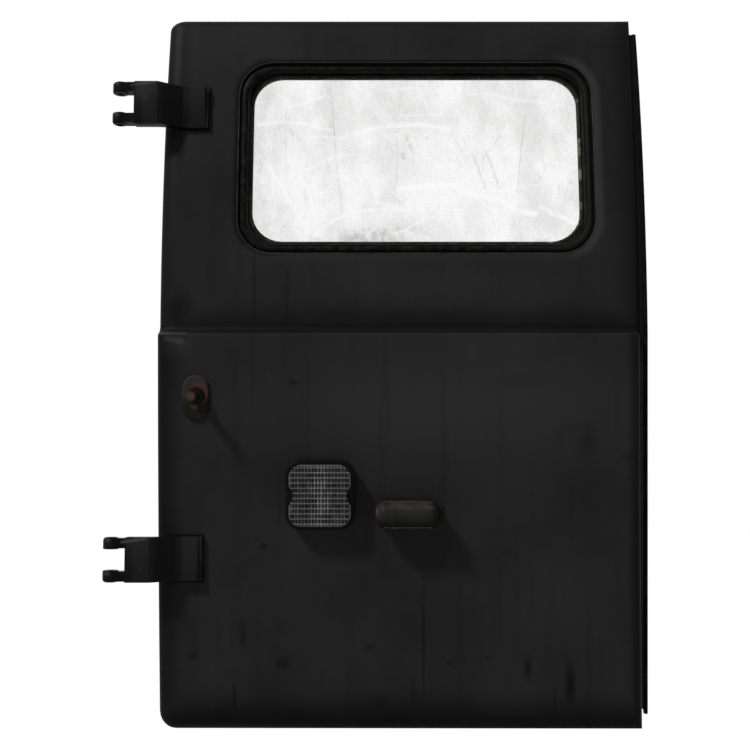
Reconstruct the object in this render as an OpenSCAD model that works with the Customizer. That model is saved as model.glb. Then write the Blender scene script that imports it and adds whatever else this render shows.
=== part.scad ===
// Left leaf of a pair of van rear doors, in millimetres.
// The origin is on the hinge axis, at the middle of the lower fork. +Z runs up the hinge axis,
// -Y points out of the vehicle and +X runs from the hinges to the meeting edge.
// Inside the modules y = 0 is the outer face of the lower panel, and leaf() tilts the whole leaf
// so that the hinge axis stands upright.

/* [Door leaf] */
// Width of the outer skin
door_w = 730; // [640:1:880]
// Height of the lower panel, from the bottom edge to the belt
lower_h = 598; // [520:1:720]
// Height of the upper panel, from the belt to the top edge
upper_h = 503; // [440:1:600]
// Height of the lower fork above the bottom edge
fork_rise = 262; // [200:1:320]
// Distance from the hinge axis to the skin's left edge
skin_gap = 61; // [56:1:70]
// Depth from the lower panel's face to the back of the leaf
leaf_depth = 44; // [38:1:60]
// Thickness of the outer skin
skin_t = 1.2; // [0.8:0.1:2]
// Amount by which the belt end of both side edges stands to the left of their ends
edge_bow = 3.5; // [0:0.5:8]
// Amount by which both side edges flare outward at the top
edge_flare = 2; // [0:0.5:4]

/* [Belt and curve] */
// Amount by which the lower panel stands proud of the upper one
belt_step = 18; // [14:1:24]
// Radius of the shoulder's outer edge
shoulder_r = 5; // [2:0.5:6]
// Rise of the shoulder's top from its outer edge to the hollow behind it
shoulder_rise = 1; // [0.5:0.5:4]
// Radius of the hollow above the shoulder
root_r = 12; // [6:1:13]
// Radius of the upper panel's curve
upper_r = 2240; // [1500:10:2600]
// Lean of the upper panel just above the belt, in degrees
upper_lean = 2.8; // [0:0.1:4]

/* [Edge folds] */
// Width of the left fold, seen from outside
fold_left = 26; // [14:1:32]
// Width of the bottom fold
fold_bottom = 28; // [14:1:32]
// Width of the right fold
fold_right = 13; // [8:1:18]
// Width of the top fold
fold_top = 16; // [6:1:20]
// Depth of the left and bottom folds
fold_depth = 18; // [12:1:22]
// Depth of the right fold
fold_depth_right = 14; // [8:1:18]
// Depth of the top fold
fold_depth_top = 8; // [6:1:12]
// Extra width of the right fold where it turns round the shoulder
shoulder_turn = 8; // [0:0.5:12]
// Width of the hem that laps over the inner panel
hem_w = 9; // [6:1:14]

/* [Window] */
// Width of the opening in the skin
window_w = 552; // [480:1:580]
// Height of the opening in the skin, along the curve
window_h = 314; // [260:1:330]
// Corner radius of the opening
window_r = 54; // [40:1:70]
// Distance from the skin's left edge to the window's centre line
window_x = 393; // [370:1:410]
// Distance from the belt to the window's centre, along the curve
window_rise = 279; // [240:1:290]
// Width of the surround from the skin's edge to the glass that shows
surround_w = 23; // [20:1:30]
// Corner radius of the glass that shows
glass_r = 46; // [32:1:50]
// Thickness of the glass
glass_t = 4; // [3:0.5:6]
// Depth of the glass behind the skin
glass_depth = 13; // [10:0.5:16]

/* [Meeting edge] */
// Distance that the flange reaches past the skin's right edge at the belt
flange_reach = 15.5; // [12:0.5:20]
// Depth of the flange behind the lower panel's face
flange_depth = 27; // [26:0.5:30]
// Thickness of the flange
flange_t = 1.5; // [1:0.1:2.5]
// Distance from the bottom edge up to the flange's foot
flange_foot = 19; // [10:1:30]
// Distance from the top edge down to the flange's head
flange_head = 23; // [10:1:30]
// Width of the rubber bead on the flange's edge
bead_w = 6; // [5:0.5:9]

/* [Hinges] */
// Distance between the two forks along the hinge axis
hinge_spacing = 692; // [600:1:760]
// Distance from the hinge axis to the lower panel's face at the lower fork
hinge_standoff = 22; // [20:0.5:24]
// Distance from the hinge axis to the upper panel's face at the upper fork
upper_standoff = 24.7; // [22:0.1:28]
// Radius of the pin's hole
pin_bore_r = 5; // [4:0.1:6]
// Radius of the fork's eyes
eye_r = 12; // [11:0.5:14]
// Gap between the fork's ears
fork_gap = 31; // [26:0.5:36]
// Thickness of each ear
ear_t = 17.5; // [14:0.5:20]
// Depth of the fork's gap from the hinge axis
fork_throat = 22.5; // [20:0.5:26]
// Distance from the hinge axis to the end of the fork's flat
arm_flat_x = 58; // [52:1:62]
// Distance from the hinge axis to the start of the foot
arm_foot_x = 93; // [88:1:98]
// Length of the foot on the skin
arm_foot_l = 39; // [34:1:46]
// Height of the foot's face above the skin
arm_foot_h = 11; // [9:0.5:13]
// Thickness of the foot's border on the gasket
arm_border_t = 5; // [4:0.5:7]
// Thickness of the gasket under the foot
hinge_gasket_t = 2; // [1:0.5:3]

/* [Reversing lamp] */
// Distance from the skin's left edge to the lamp's centre
rev_x = 248; // [200:1:300]
// Height of the lamp's centre above the lower fork
rev_z = 95; // [60:1:140]
// Side of the square housing
rev_size = 102; // [90:1:120]
// Corner radius of the housing
rev_r = 22; // [16:1:28]
// Depth of the housing
rev_depth = 24; // [20:1:32]
// Side of the square lens
rev_lens = 91; // [80:1:94]
// Distance that the lens stands out of the housing
rev_lens_proud = 6; // [4:0.5:9]
// Number of flutes across the lens's face
rev_flutes = 11; // [7:1:15]

/* [Number plate lamp] */
// Distance from the skin's left edge to the lamp's centre
plate_lamp_x = 378; // [360:1:450]
// Height of the lamp's centre above the lower fork
plate_lamp_z = 67; // [40:1:110]
// Width of the hood
hood_w = 95; // [80:1:110]
// Height of the hood
hood_h = 36; // [32:1:46]
// Distance that the hood stands out from the door
hood_d = 50; // [44:1:56]
// Wall of the hood
hood_t = 2; // [1.5:0.5:3]

/* [Door stop] */
// Distance from the skin's left edge to the stop's stud
stop_x = 62; // [52:1:80]
// Height of the stop's stud above the lower fork
stop_z = 242; // [200:1:270]
// Width of the stop's plate
stop_plate_w = 40; // [34:1:46]
// Height of the stop's plate
stop_plate_h = 68; // [60:1:76]
// Thickness of the stop's plate
stop_plate_t = 5; // [3:0.5:8]
// Distance that the stud stands out from the door
stop_reach = 51; // [44:1:60]
// Radius of the stud
stop_stud_r = 6; // [5:0.5:7]

/* [Inner panel] */
// Thickness of the inner panel
inner_t = 1.2; // [0.8:0.1:2]
// Width of the rim round the inner panel's openings
inner_rim = 62; // [50:1:80]
// Width of the post between the two lower openings
inner_post = 70; // [50:1:90]
// Height of the lower openings above the bottom edge
inner_foot = 82; // [60:1:100]
// Distance from the belt down to the lower openings
inner_head = 102; // [80:1:120]
// Corner radius of the lower openings
inner_r = 40; // [20:1:60]
// Depth of the rim turned in round the lower openings
inner_turn = 7; // [4:0.5:12]
// Height of the pressed ribs
rib_h = 4; // [2:0.5:6]
// Width of the pressed ribs
rib_w = 22; // [16:1:30]

/* [Hidden] */
$fn = 48;
// Side clearance between pieces that fit together
fit_gap = 0.2;
// Clearance between sheets that lie on each other along the curve
sheet_gap = 0.1;
// Distance from the skin's right edge to the inner panel's side wall
inner_inset = 24;
bottom_z = -fork_rise;
belt_z = bottom_z + lower_h;
top_z = belt_z + upper_h;
right_x = skin_gap + door_w;
fold_steps = 5;
corner_steps = 6;
window_steps = 8;
window_lean = lean_at(belt_z) + window_rise / upper_r * 180 / PI;
curve_y = belt_step + upper_r * cos(upper_lean);
curve_z = belt_z - upper_r * sin(upper_lean);
flange_x = right_x + flange_reach;
inner_y = leaf_depth - skin_t - inner_t - sheet_gap;
inner_left = skin_gap + edge_bow + skin_t + fit_gap;
inner_right = right_x - inner_inset;
inner_mid = (inner_left + inner_right) / 2;
opening_w = (inner_right - inner_left - 2 * inner_rim - inner_post) / 2;
opening_h = lower_h - inner_foot - inner_head;
opening_z = bottom_z + inner_foot + opening_h / 2;
flange_low = bottom_z + flange_foot;
flange_high = top_z - flange_head;
// Cut across the flange's foot, and the length over which the hem narrows at the right corners
foot_cut = 12;
hem_taper = 14;
// Least depth of the right fold before its hem
fold_clear = 1.5;
// Rubber bead on the meeting edge: the depth that it grips, its bulge and its round outer side
bead_grip = 1.7;
bead_bulge = 3.4;
bead_tip = 1.8;
// Window surround: sheet, depth of the rebate, width of its flange and the collar's place in it
lip_t = 1.4;
rebate = 8;
flange_in = 12;
collar_in = 2;
// Distance from the skin's edge to the glass's own edge, and the glass's clearance in its seal
glass_in = 17;
glass_gap = 0.3;
// Width at the skin's edge over which the window's corners stay concentric
corner_from = 5;
// Marks the places of a window section that reach back to the inner panel
inner_mark = 100;
window_mid = skin_gap + window_x;
// Hinges
fork_h = fork_gap + 2 * ear_t;
arm_r = 2;
arm_turn = 45;
eye_edge = 5;
eye_inner_edge = 2;
ear_neck_t = ear_t - 3;
// Slope cut from the ears' outer corners: its depth, and where it starts and ends
ear_slope = 5;
ear_slope_from = 10.5;
ear_slope_to = 56;
// Width of the foot's border and of the step up to its pad
arm_border = 4;
arm_border_step = 2;
gasket_margin = 1.5;
hinge_plate_t = 4;
hinge_plate_margin = 6;
hinge_tilt = tilt_for(0, 12);
// Reversing lamp: gasket, floor of the housing, the lens's skirt, border, flutes and notches
lamp_gasket_t = 1.5;
housing_floor = 3;
lens_skirt = 3;
lens_border = 4;
lens_flute = 1.3;
lens_back_flutes = 17;
lens_back_flute = 1;
lens_edge = 1.6;
housing_edge = 1.6;
lens_r = rev_r - 4;
notch_d = 5;
notch_mouth = 29;
notch_floor = 13;
rev_front = lamp_gasket_t + rev_depth;
rev_seat = lamp_gasket_t + housing_floor + fit_gap;
// Reflector and bulb
reflector_t = 1.2;
reflector_neck = 8;
bulb_r = 6.5;
// Number plate lamp: edge radius, base, and the border round the lens in the hood's underside
hood_r = 15;
hood_base_t = 3;
hood_base_lap = 3;
hood_border = 12;
festoon_r = 5;
festoon_l = 38;
festoon_leg = 2;
// Door stop: the plate's shift from the stud and its edge, washer, nut, and the stud's base and end
stop_edge = 2;
stop_at = skin_gap + stop_x;
stop_shift = [-1, -3];
washer_r = 13;
washer_t = 2;
nut_r = 12;
nut_h = 10;
stud_base_r = stop_stud_r + 5;
stud_base_t = 12;
stud_rim = 1;
skin_paint = [0.13, 0.13, 0.13];
rubber = [0.05, 0.05, 0.05];

// Lean of the upper panel at a height, in degrees
function lean_at(z) = asin(sin(upper_lean) + (z - belt_z) / upper_r);
// Depth that the upper panel's curve adds at a height
function curve(z) = z <= belt_z ? 0 : upper_r * (cos(upper_lean) - cos(lean_at(z)));
// Depth of the outer face away from the belt
function face_y(z) = z <= belt_z ? 0 : belt_step + curve(z);
// Shift of both side edges at a height
function bow(z) = edge_bow * pow((z - belt_z) / (z < belt_z ? lower_h : upper_h), 2);
function flare(z) = z < belt_z ? 0 : edge_flare * pow((z - belt_z) / upper_h, 2);
function left_edge(z) = skin_gap + bow(z) - flare(z);
function right_edge(z) = right_x + bow(z) + flare(z);
// Tilt of the hinge axis against the lower panel, which gives both forks their standoff
function tilt_for(t, n) =
    let (rise = face_y(hinge_spacing * cos(t)) + hinge_standoff - upper_standoff)
    n == 0 ? t : tilt_for(asin(rise / hinge_spacing), n - 1);
// Distance to the outer face from a height on the hinge axis, square to it, and the face's height there
function reach(s, d = 20, n = 8) =
    let (back = face_y(foot_z(s, d)) + hinge_standoff - s * sin(hinge_tilt))
    n == 0 ? d : reach(s, back / cos(hinge_tilt), n - 1);
function foot_z(s, d) = s * cos(hinge_tilt) - d * sin(hinge_tilt);
// Evenly spaced numbers, both ends included
function spread(a, b, n) = [for (i = [0 : n]) a + (b - a) * i / n];

// Turns the leaf from its own frame to the hinge frame
module leaf() {
    rotate([hinge_tilt, 0, 0])
        translate([0, hinge_standoff, 0])
            children();
}

// Puts children on the outer face at a height, with -Y out of the skin
module on_face(x, z) {
    translate([x, face_y(z), z])
        rotate([z > belt_z ? -lean_at(z) : 0, 0, 0])
            children();
}

// Puts children in the hinge axis frame, at a height along the axis
module on_axis(s) {
    translate([0, -hinge_standoff, 0])
        rotate([-hinge_tilt, 0, 0])
            translate([0, 0, s])
                children();
}

// Solid from closed rings of points, joined in order. It is closed by the end faces, which are
// lists of places on a ring, or is joined end to end where there are none
module ring_solid(rings, ends = []) {
    n = len(rings);
    m = len(rings[0]);
    spans = len(ends) == 0 ? n : n - 1;
    sides = [
        for (i = [0 : spans - 1], j = [0 : m - 1])
            let (a = i * m, b = (i + 1) % n * m, k = (j + 1) % m)
            each [[a + j, b + j, b + k], [a + j, b + k, a + k]]
    ];
    last = [for (e = ends) [for (i = [len(e) - 1 : -1 : 0]) (n - 1) * m + e[i]]];
    polyhedron([for (r = rings, p = r) p], concat(sides, ends, last));
}

// Flat outline with round corners
module round_rect(w, h, r) {
    square([w - 2 * r, h], center = true);
    square([w, h - 2 * r], center = true);
    for (x = [-1, 1], z = [-1, 1])
        translate([x * (w / 2 - r), z * (h / 2 - r)])
            circle(r);
}

// Block that stands on z = 0, with round corners and a sloped edge round its top
module soft_block(w, h, r, depth, edge) {
    for (x = [-1, 1], y = [-1, 1])
        translate([x * (w / 2 - r), y * (h / 2 - r), 0])
            rotate_extrude()
                polygon([[0, 0], [r, 0], [r, depth - edge], [r - edge, depth], [0, depth]]);
    rotate([90, 0, 0])
        linear_extrude(h - 2 * r, center = true)
            soft_side(w / 2, depth, edge);
    rotate([90, 0, 90])
        linear_extrude(w - 2 * r, center = true)
            soft_side(h / 2, depth, edge);
}
module soft_side(half, depth, edge) {
    polygon([
        [-half, 0], [half, 0], [half, depth - edge], [half - edge, depth], [edge - half, depth],
        [-half, depth - edge]
    ]);
}

// Plate in the XZ plane from y = 0 to y = depth
module plate(depth) {
    translate([0, depth, 0])
        rotate([90, 0, 0])
            linear_extrude(depth)
                children();
}

// Outline, seen from the side, of a sheet that follows the leaf's curve
function follow(y, t, low, high, steps = 16) =
    let (
        up = high > belt_z ? spread(max(low, belt_z), high, steps) : [],
        zs = concat(low < belt_z ? [low] : [], up)
    )
    concat(
        [for (z = zs) [y + curve(z), z]],
        [for (i = [len(zs) - 1 : -1 : 0]) [y + t + curve(zs[i]), zs[i]]]
    );

// Sheet that follows the leaf's curve between two x positions
module curved_sheet(y, t, low, high, x0, x1) {
    translate([x0, 0, 0])
        rotate([90, 0, 90])
            linear_extrude(x1 - x0)
                polygon(follow(y, t, low, high));
}

/* Outer skin */
// Side view of the face from the bottom fold to the top fold, as [height, depth]
face_low = bottom_z + fold_bottom;
face_high = top_z - fold_top;
root_top = belt_z + shoulder_rise + root_r;
// Heights below and above the belt over which the right fold widens, and how much at a height
turn_h = 26;
function turn_at(z) =
    let (k = z < belt_z ? (z - belt_z + turn_h) / (turn_h - shoulder_r) : (root_top + turn_h - z) / turn_h)
    shoulder_turn * pow(sin(90 * max(0, min(1, k))), 2);
face_rows = concat(
    [for (z = spread(face_low, belt_z - turn_h, 5)) [z, 0]],
    [for (z = spread(belt_z - turn_h, belt_z - shoulder_r, 4)) if (z > belt_z - turn_h) [z, 0]],
    [for (a = [30 : 30 : 90]) [belt_z - shoulder_r * (1 - sin(a)), shoulder_r * (1 - cos(a))]],
    [for (a = [0 : 22.5 : 90])
        let (z = belt_z + shoulder_rise + root_r * (1 - cos(a)))
        [z, belt_step - root_r * (1 - sin(a)) + curve(z)]],
    [for (i = [1 : 16]) let (z = root_top + (face_high - root_top) * i / 16) [z, face_y(z)]]
);
last_row = len(face_rows) - 1;

// A station is a point on the edge of the face, the way out from it in x and z, the fold's widths
// in x and z, the fold's depth and the depth of the hem: [x, y, z, way_x, way_z, wide_x, wide_z, deep, hem]
function left_station(row) =
    [left_edge(row[0]) + fold_left, row[1], row[0], -1, 0, fold_left, 0, fold_depth, leaf_depth];
function right_station(row) =
    let (room = flange_depth + curve(row[0]) - row[1] - fold_clear, wide = fold_right + turn_at(row[0]))
    [right_edge(row[0]) - wide, row[1], row[0], 1, 0, wide, 0,
        min(fold_depth_right, room), flange_depth - sheet_gap];
function corner_station(z, way, wide_z, deep_z, a) =
    [left_edge(z) + fold_left, face_y(z), z, -cos(a), way * sin(a), fold_left, wide_z,
        fold_depth * pow(cos(a), 2) + deep_z * pow(sin(a), 2), leaf_depth];
function end_station(z, way, wide_z, deep, side) =
    [right_edge(z) - fold_right - (1 - side) * hem_taper, face_y(z), z, side, way, side * fold_right,
        wide_z, deep, side == 1 ? flange_depth - sheet_gap : leaf_depth];
corner_angles = spread(0, 90, corner_steps);
stations = concat(
    [for (row = face_rows) left_station(row)],
    [for (i = [1 : corner_steps]) corner_station(face_high, 1, fold_top, fold_depth_top, corner_angles[i])],
    [for (side = [0, 1]) end_station(face_high, 1, fold_top, fold_depth_top - side, side)],
    [for (i = [last_row - 1 : -1 : 1]) right_station(face_rows[i])],
    [for (side = [1, 0]) end_station(face_low, -1, fold_bottom, fold_depth_right, side)],
    [for (i = [corner_steps : -1 : 1])
        corner_station(face_low, -1, fold_bottom, fold_depth, corner_angles[i])]
);

// A step is a stage of the sheet's way round the fold to the hem and back inside:
// [share of the fold's width, inset, share of the fold's depth, added depth, 1 at the hem]
fold_angles = spread(0, 90, fold_steps);
skin_steps = concat(
    [for (a = fold_angles) [sin(a), 0, 1 - cos(a), 0, 0]],
    [[1, 0, 0, 0, 1], [1, hem_w, 0, 0, 1], [1, hem_w, 0, -skin_t, 1], [1, skin_t, 0, -skin_t, 1]],
    [for (i = [fold_steps : -1 : 0])
        let (a = fold_angles[i])
        [sin(a), skin_t * sin(a), 1 - cos(a), skin_t * cos(a), 0]]
);
function skin_point(s, k) =
    let (
        z = s[2] + s[4] * (s[6] * k[0] - k[1]),
        fold = s[1] + face_shift(s, z) + s[7] * k[2],
        hem = s[8] + curve(z)
    )
    [s[0] + s[3] * (s[5] * k[0] - k[1]), (k[4] == 1 ? hem : fold) + k[3], z];
function face_shift(s, z) = s[4] == 0 ? 0 : face_y(z) - face_y(s[2]);

module skin_shell() {
    m = len(stations);
    n = len(skin_steps);
    top_end = last_row + corner_steps + 1;
    function right(i) = top_end + 1 + last_row - i;
    foot_end = right(0) + 1;
    strips = [
        for (i = [0 : n - 2], j = [0 : m - 1])
            [i * m + j, i * m + (j + 1) % m, (i + 1) * m + (j + 1) % m, (i + 1) * m + j]
    ];
    face = concat(
        [[1, 0, foot_end, right(0), right(1)]],
        [for (i = [1 : last_row - 2]) [i, right(i), right(i + 1), i + 1]],
        [[last_row - 1, right(last_row - 1), right(last_row), top_end, last_row]]
    );
    inner = (n - 1) * m;
    back = [for (f = face) [for (i = [0 : len(f) - 1]) inner + f[(len(f) - i) % len(f)]]];
    polyhedron([for (k = skin_steps, s = stations) skin_point(s, k)], concat(strips, face, back));
}

module outer_skin() {
    color(skin_paint)
        difference() {
            skin_shell();
            window_hole(0);
            translate([stop_at, 0, stop_z])
                rotate([90, 0, 0])
                    cylinder(r = stop_stud_r + fit_gap, h = 3 * skin_t, center = true);
        }
}

/* Inner panel and meeting edge */
module inner_sheet() {
    low = bottom_z + skin_t + fit_gap;
    high = top_z - skin_t - fit_gap;
    w = inner_right - inner_left;
    intersection() {
        curved_sheet(inner_y, inner_t, low, high, inner_left, inner_right);
        translate([inner_left + w, 0, (low + high) / 2])
            plate(3 * leaf_depth + upper_h)
                round_rect(2 * w, high - low, fold_bottom);
    }
}

// Puts children at each of the two lower openings
module at_openings() {
    for (side = [-1, 1])
        translate([inner_mid + side * (opening_w + inner_post) / 2, 0, opening_z])
            children();
}

// Obround in the XZ plane, along Z
module obround(w, h) {
    square([w, h - w], center = true);
    for (side = [-1, 1])
        translate([0, side * (h - w) / 2])
            circle(w / 2);
}

// Places of the pressed ribs on the flat part, as [x, z, turn, length]
ribs = [
    [inner_mid, opening_z, 0, opening_h - rib_w],
    for (x = [-1, 1])
        [inner_mid + x * (opening_w + inner_post) / 2, belt_z - inner_head / 2, 90, opening_w - rib_w]
];
module ribs_form(inset, high) {
    for (r = ribs)
        translate([r[0], 0, r[1]])
            rotate([0, r[2], 0])
                plate(high)
                    obround(rib_w - 2 * inset, r[3] - 2 * inset);
}

module inner_panel() {
    color([0.16, 0.16, 0.16])
        difference() {
            union() {
                inner_sheet();
                curved_sheet(flange_depth + flange_t, inner_y + inner_t - flange_depth - flange_t,
                    flange_low, flange_high, inner_right - inner_t, inner_right);
                translate([0, inner_y + inner_t - inner_turn, 0])
                    at_openings()
                        plate(inner_turn)
                            round_rect(opening_w + 2 * inner_t, opening_h + 2 * inner_t, inner_r + inner_t);
                translate([0, inner_y, 0])
                    ribs_form(0, inner_t + rib_h);
            }
            window_hole(-collar_in - inner_t);
            at_openings()
                plate(2 * leaf_depth)
                    round_rect(opening_w, opening_h, inner_r);
            translate([0, inner_y - 1, 0])
                ribs_form(inner_t, rib_h + 1);
        }
}

module meeting_flange() {
    color([0.1, 0.1, 0.1])
        difference() {
            curved_sheet(flange_depth, flange_t, flange_low, flange_high, inner_right - inner_t,
                flange_x - bead_grip);
            translate([flange_x - bead_w - foot_cut / 4, 0, flange_low - 1])
                rotate([0, 45, 0])
                    cube([foot_cut, 3 * leaf_depth, foot_cut], center = true);
        }
}

module meeting_seal() {
    rows = concat([flange_low], spread(belt_z, flange_high, 16));
    slot = fit_gap / 2;
    half = [
        [0, 0], [-0.3, bead_bulge / 2], [-bead_tip, bead_bulge - 0.4], [bead_tip - bead_w, bead_bulge],
        [-bead_w, bead_bulge - 0.8]
    ];
    section = concat(
        [for (i = [4 : -1 : 1]) [half[i][0], -half[i][1]]], [[0, flange_t / 2]],
        [for (i = [1 : 4]) [half[i][0], flange_t + half[i][1]]],
        [[-bead_w, flange_t + slot], [slot - bead_grip, flange_t + slot], [slot - bead_grip, -slot],
            [-bead_w, -slot]]
    );
    ends = [
        [0, 1, 12], [1, 2, 11, 12], [2, 3, 11], [3, 4, 11], [4, 10, 11], [4, 5, 10], [5, 6, 10],
        [6, 7, 9, 10], [7, 8, 9]
    ];
    color(rubber)
        ring_solid([
            for (z = rows)
                [for (p = section) [flange_x + p[0], flange_depth + p[1] + curve(z), z]]
        ], ends);
}

/* Window */
// A place on the window's surface: across from the middle, up along the curve and in from the skin
function window_at(x, s, w) =
    let (a = window_lean + s / upper_r * 180 / PI)
    [window_mid + x, curve_y - upper_r * cos(a) + w * cos(window_lean),
        curve_z + upper_r * sin(a) - w * sin(window_lean)];

// Round the opening: the corner's centre and the angle outward
corner_x = window_w / 2 - window_r;
corner_s = window_h / 2 - window_r;
window_path =
    let (hx = corner_x, hs = corner_s, turn = 90 / window_steps)
    concat(
        [for (i = [-2 : 2]) [hx, i / 3 * hs, 0]],
        [for (i = [0 : window_steps]) [hx, hs, i * turn]],
        [for (i = [0 : window_steps]) [-hx, hs, 90 + i * turn]],
        [for (i = [2 : -1 : -2]) [-hx, i / 3 * hs, 180]],
        [for (i = [0 : window_steps]) [-hx, -hs, 180 + i * turn]],
        [for (i = [0 : window_steps]) [hx, -hs, 270 + i * turn]]
    );

// Frame round the window. The section's points are [out from the skin's edge, in from the skin]
module window_ring(section) {
    ring_solid([for (p = window_path) [for (q = section) ring_point(p, q[0], q[1])]]);
}

function ring_point(p, out, w) =
    let (
        in = soften(-out), r = window_r + out + in,
        s = p[1] * (1 - in / corner_s) + r * sin(p[2])
    )
    window_at(p[0] * (1 - in / corner_x) + r * cos(p[2]), s, w < inner_mark ? w : inner_depth(s));
// Growth of the corner radius at a distance in from the skin's edge
function soften(d) = max(0, d - corner_from) * corner_growth;
corner_growth = (glass_r - window_r + surround_w) / (surround_w - corner_from);

// Depth of the inner panel's front, along the window's own depth, at a height on the window
function inner_depth(s) =
    let (a = window_lean + s / upper_r * 180 / PI)
    (inner_y - belt_step) * cos(a) / cos(a - window_lean) - fit_gap;

// Cutter with the window's outline, larger by grow all round
module window_hole(grow) {
    translate(window_at(0, 0, 0))
        rotate([-window_lean, 0, 0])
            translate([0, -30, 0])
                plate(120)
                    round_rect(window_w + 2 * grow, window_h + 2 * grow, window_r + grow + soften(-grow));
}

module window_surround() {
    color(skin_paint)
        window_ring([
            [-fit_gap, 0], [-fit_gap, rebate + lip_t], [-flange_in, rebate + lip_t], [-flange_in, rebate],
            [-fit_gap - lip_t, rebate], [-fit_gap - lip_t, 0], [-fit_gap - lip_t / 2, -0.7]
        ]);
}

module window_collar() {
    color([0.16, 0.16, 0.16])
        window_ring([
            [-collar_in, rebate + lip_t + sheet_gap], [-collar_in, inner_mark],
            [-collar_in - inner_t, inner_mark], [-collar_in - inner_t, rebate + lip_t + sheet_gap]
        ]);
}

module window_seal() {
    front = glass_depth - glass_gap;
    rear = glass_depth + glass_t + glass_gap;
    color(rubber)
        window_ring([
            [-1.8, rebate - 0.2], [-flange_in - 0.2, rebate - 0.2],
            [-flange_in - 0.2, rebate + lip_t + 0.2], [-5, rebate + lip_t + 0.2], [-5, front],
            [-14, rear + 2.8], [-surround_w + 0.5, rear + 2.4],
            [-surround_w + 0.5, rear], [glass_gap - glass_in, rear], [glass_gap - glass_in, front],
            [-18.2, front], [-17.2, 6], [-15.2, 4.2], [-13.8, 4.5], [-13.4, 6.6],
            [-4.6, 6.6], [-4.2, 3], [-2.8, 2], [-1.8, 3]
        ]);
}

module window_filler_strip() {
    color([0.35, 0.35, 0.35])
        window_ring([
            [-5, 3.5], [-5, 6.4], [-13.1, 6.4], [-13.1, 3.5], [-12, 1.6], [-10.4, 0.7], [-9, 0.4],
            [-7.6, 0.7], [-6.1, 1.6]
        ]);
}

module window_inner_lip() {
    color([0.2, 0.21, 0.14])
        window_ring([
            [-18.5, glass_depth - glass_gap], [-surround_w, glass_depth - glass_gap],
            [-surround_w + 0.6, glass_depth - 1.6], [-20.6, glass_depth - 2.6],
            [-18.9, glass_depth - 2.2]
        ]);
}

module window_glass() {
    swing = window_h / 2 / upper_r * 180 / PI;
    wide = window_w;
    color([0.9, 0.9, 0.9, 0.35])
        intersection() {
            translate([window_mid - wide / 2, curve_y + glass_depth * cos(window_lean),
                    curve_z - glass_depth * sin(window_lean)])
                rotate([90, 0, 90])
                    rotate([0, 0, 180 - window_lean - swing])
                        rotate_extrude(angle = 2 * swing, $fn = 720)
                            translate([upper_r - glass_t, 0])
                                square([glass_t, wide]);
            window_hole(-glass_in);
        }
}

/* Hinges */
module fork_eye(side) {
    translate([0, 0, side * fork_gap / 2])
        mirror([0, 0, side < 0 ? 1 : 0])
            rotate_extrude()
                union() {
                    square([eye_r - eye_edge, ear_t]);
                    square([eye_r - eye_inner_edge, ear_t - eye_edge]);
                    translate([0, eye_inner_edge])
                        square([eye_r, ear_t - eye_edge - eye_inner_edge]);
                    translate([eye_r - eye_edge, ear_t - eye_edge])
                        circle(eye_edge);
                    translate([eye_r - eye_inner_edge, eye_inner_edge])
                        circle(eye_inner_edge);
                }
}

// A point given in the hinge axis frame, in the leaf's frame
function axis_point(x, p, s) =
    [x, p[0] * cos(hinge_tilt) + (p[1] + s) * sin(hinge_tilt) - hinge_standoff,
        (p[1] + s) * cos(hinge_tilt) - p[0] * sin(hinge_tilt)];

// Section of the arm as [depth, height], with round corners. Its front and back may lean
function arm_section(front, back, front_lean = 0, back_lean = 0) =
    let (half = fork_h / 2)
    [for (a = [0 : arm_turn : 360 - arm_turn], side = a % 90 == 0 ? [-1, 1] : [0])
        let (q = a + side * 0.01, h = (sin(q) > 0 ? 1 : -1) * (half - arm_r) + arm_r * sin(a))
        [(cos(q) > 0 ? back - arm_r + h * tan(back_lean) : front + arm_r + h * tan(front_lean))
            + arm_r * cos(a), h]];

// Wedge that slopes an ear's outer corner, from the eye to the end of the arm's flat
module ear_cut(side, way) {
    y = side * (eye_r + 1);
    z = way * (fork_h / 2 + 1);
    deep = ear_slope + 1;
    flip = side * way > 0;
    faces = [[0, 1, 2], [0, 3, 1], [1, 3, 2], [0, 2, 3]];
    polyhedron([
        [ear_slope_from, y, z], [ear_slope_from, y - side * deep, z], [ear_slope_from, y, z - way * deep],
        [ear_slope_to, y, z]
    ], [for (f = faces) flip ? [f[2], f[1], f[0]] : f]);
}

module hinge_arm(s) {
    d = reach(s);
    lean = lean_of(s) - hinge_tilt;
    back = d - hinge_gasket_t / cos(lean);
    flat = arm_section(-eye_r, eye_r);
    foot = arm_section(d - arm_foot_h, back, 0, lean);
    border = arm_section(back - arm_border_t, back, lean, lean);
    end = arm_foot_x + arm_foot_l;
    stages = concat(
        [[fork_throat, flat]],
        [for (k = spread(0, 1, 4)) [arm_flat_x + (arm_foot_x - arm_flat_x) * k, flat + (foot - flat) * k]],
        [[end - arm_border - arm_border_step, foot], [end - arm_border, border], [end, border]]
    );
    color([0.13, 0.13, 0.13])
        difference() {
            union() {
                on_axis(s)
                    for (side = [-1, 1]) {
                        fork_eye(side);
                        translate([0, arm_r - eye_r, (side * (fork_gap + ear_t) - ear_neck_t) / 2])
                            cube([fork_throat + 1, 2 * (eye_r - arm_r), ear_neck_t]);
                    }
                ring_solid([for (g = stages) [for (p = g[1]) axis_point(g[0], p, s)]],
                    [[for (i = [0 : len(flat) - 1]) i]]);
            }
            on_axis(s)
                cylinder(r = pin_bore_r, h = fork_h + 2, center = true);
            on_axis(s)
                for (side = [-1, 1], way = [-1, 1])
                    ear_cut(side, way);
        }
}

// Lean of the outer face where the square from a height on the hinge axis meets it
function lean_of(s) = let (z = foot_z(s, reach(s))) z > belt_z ? lean_at(z) : 0;

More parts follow.
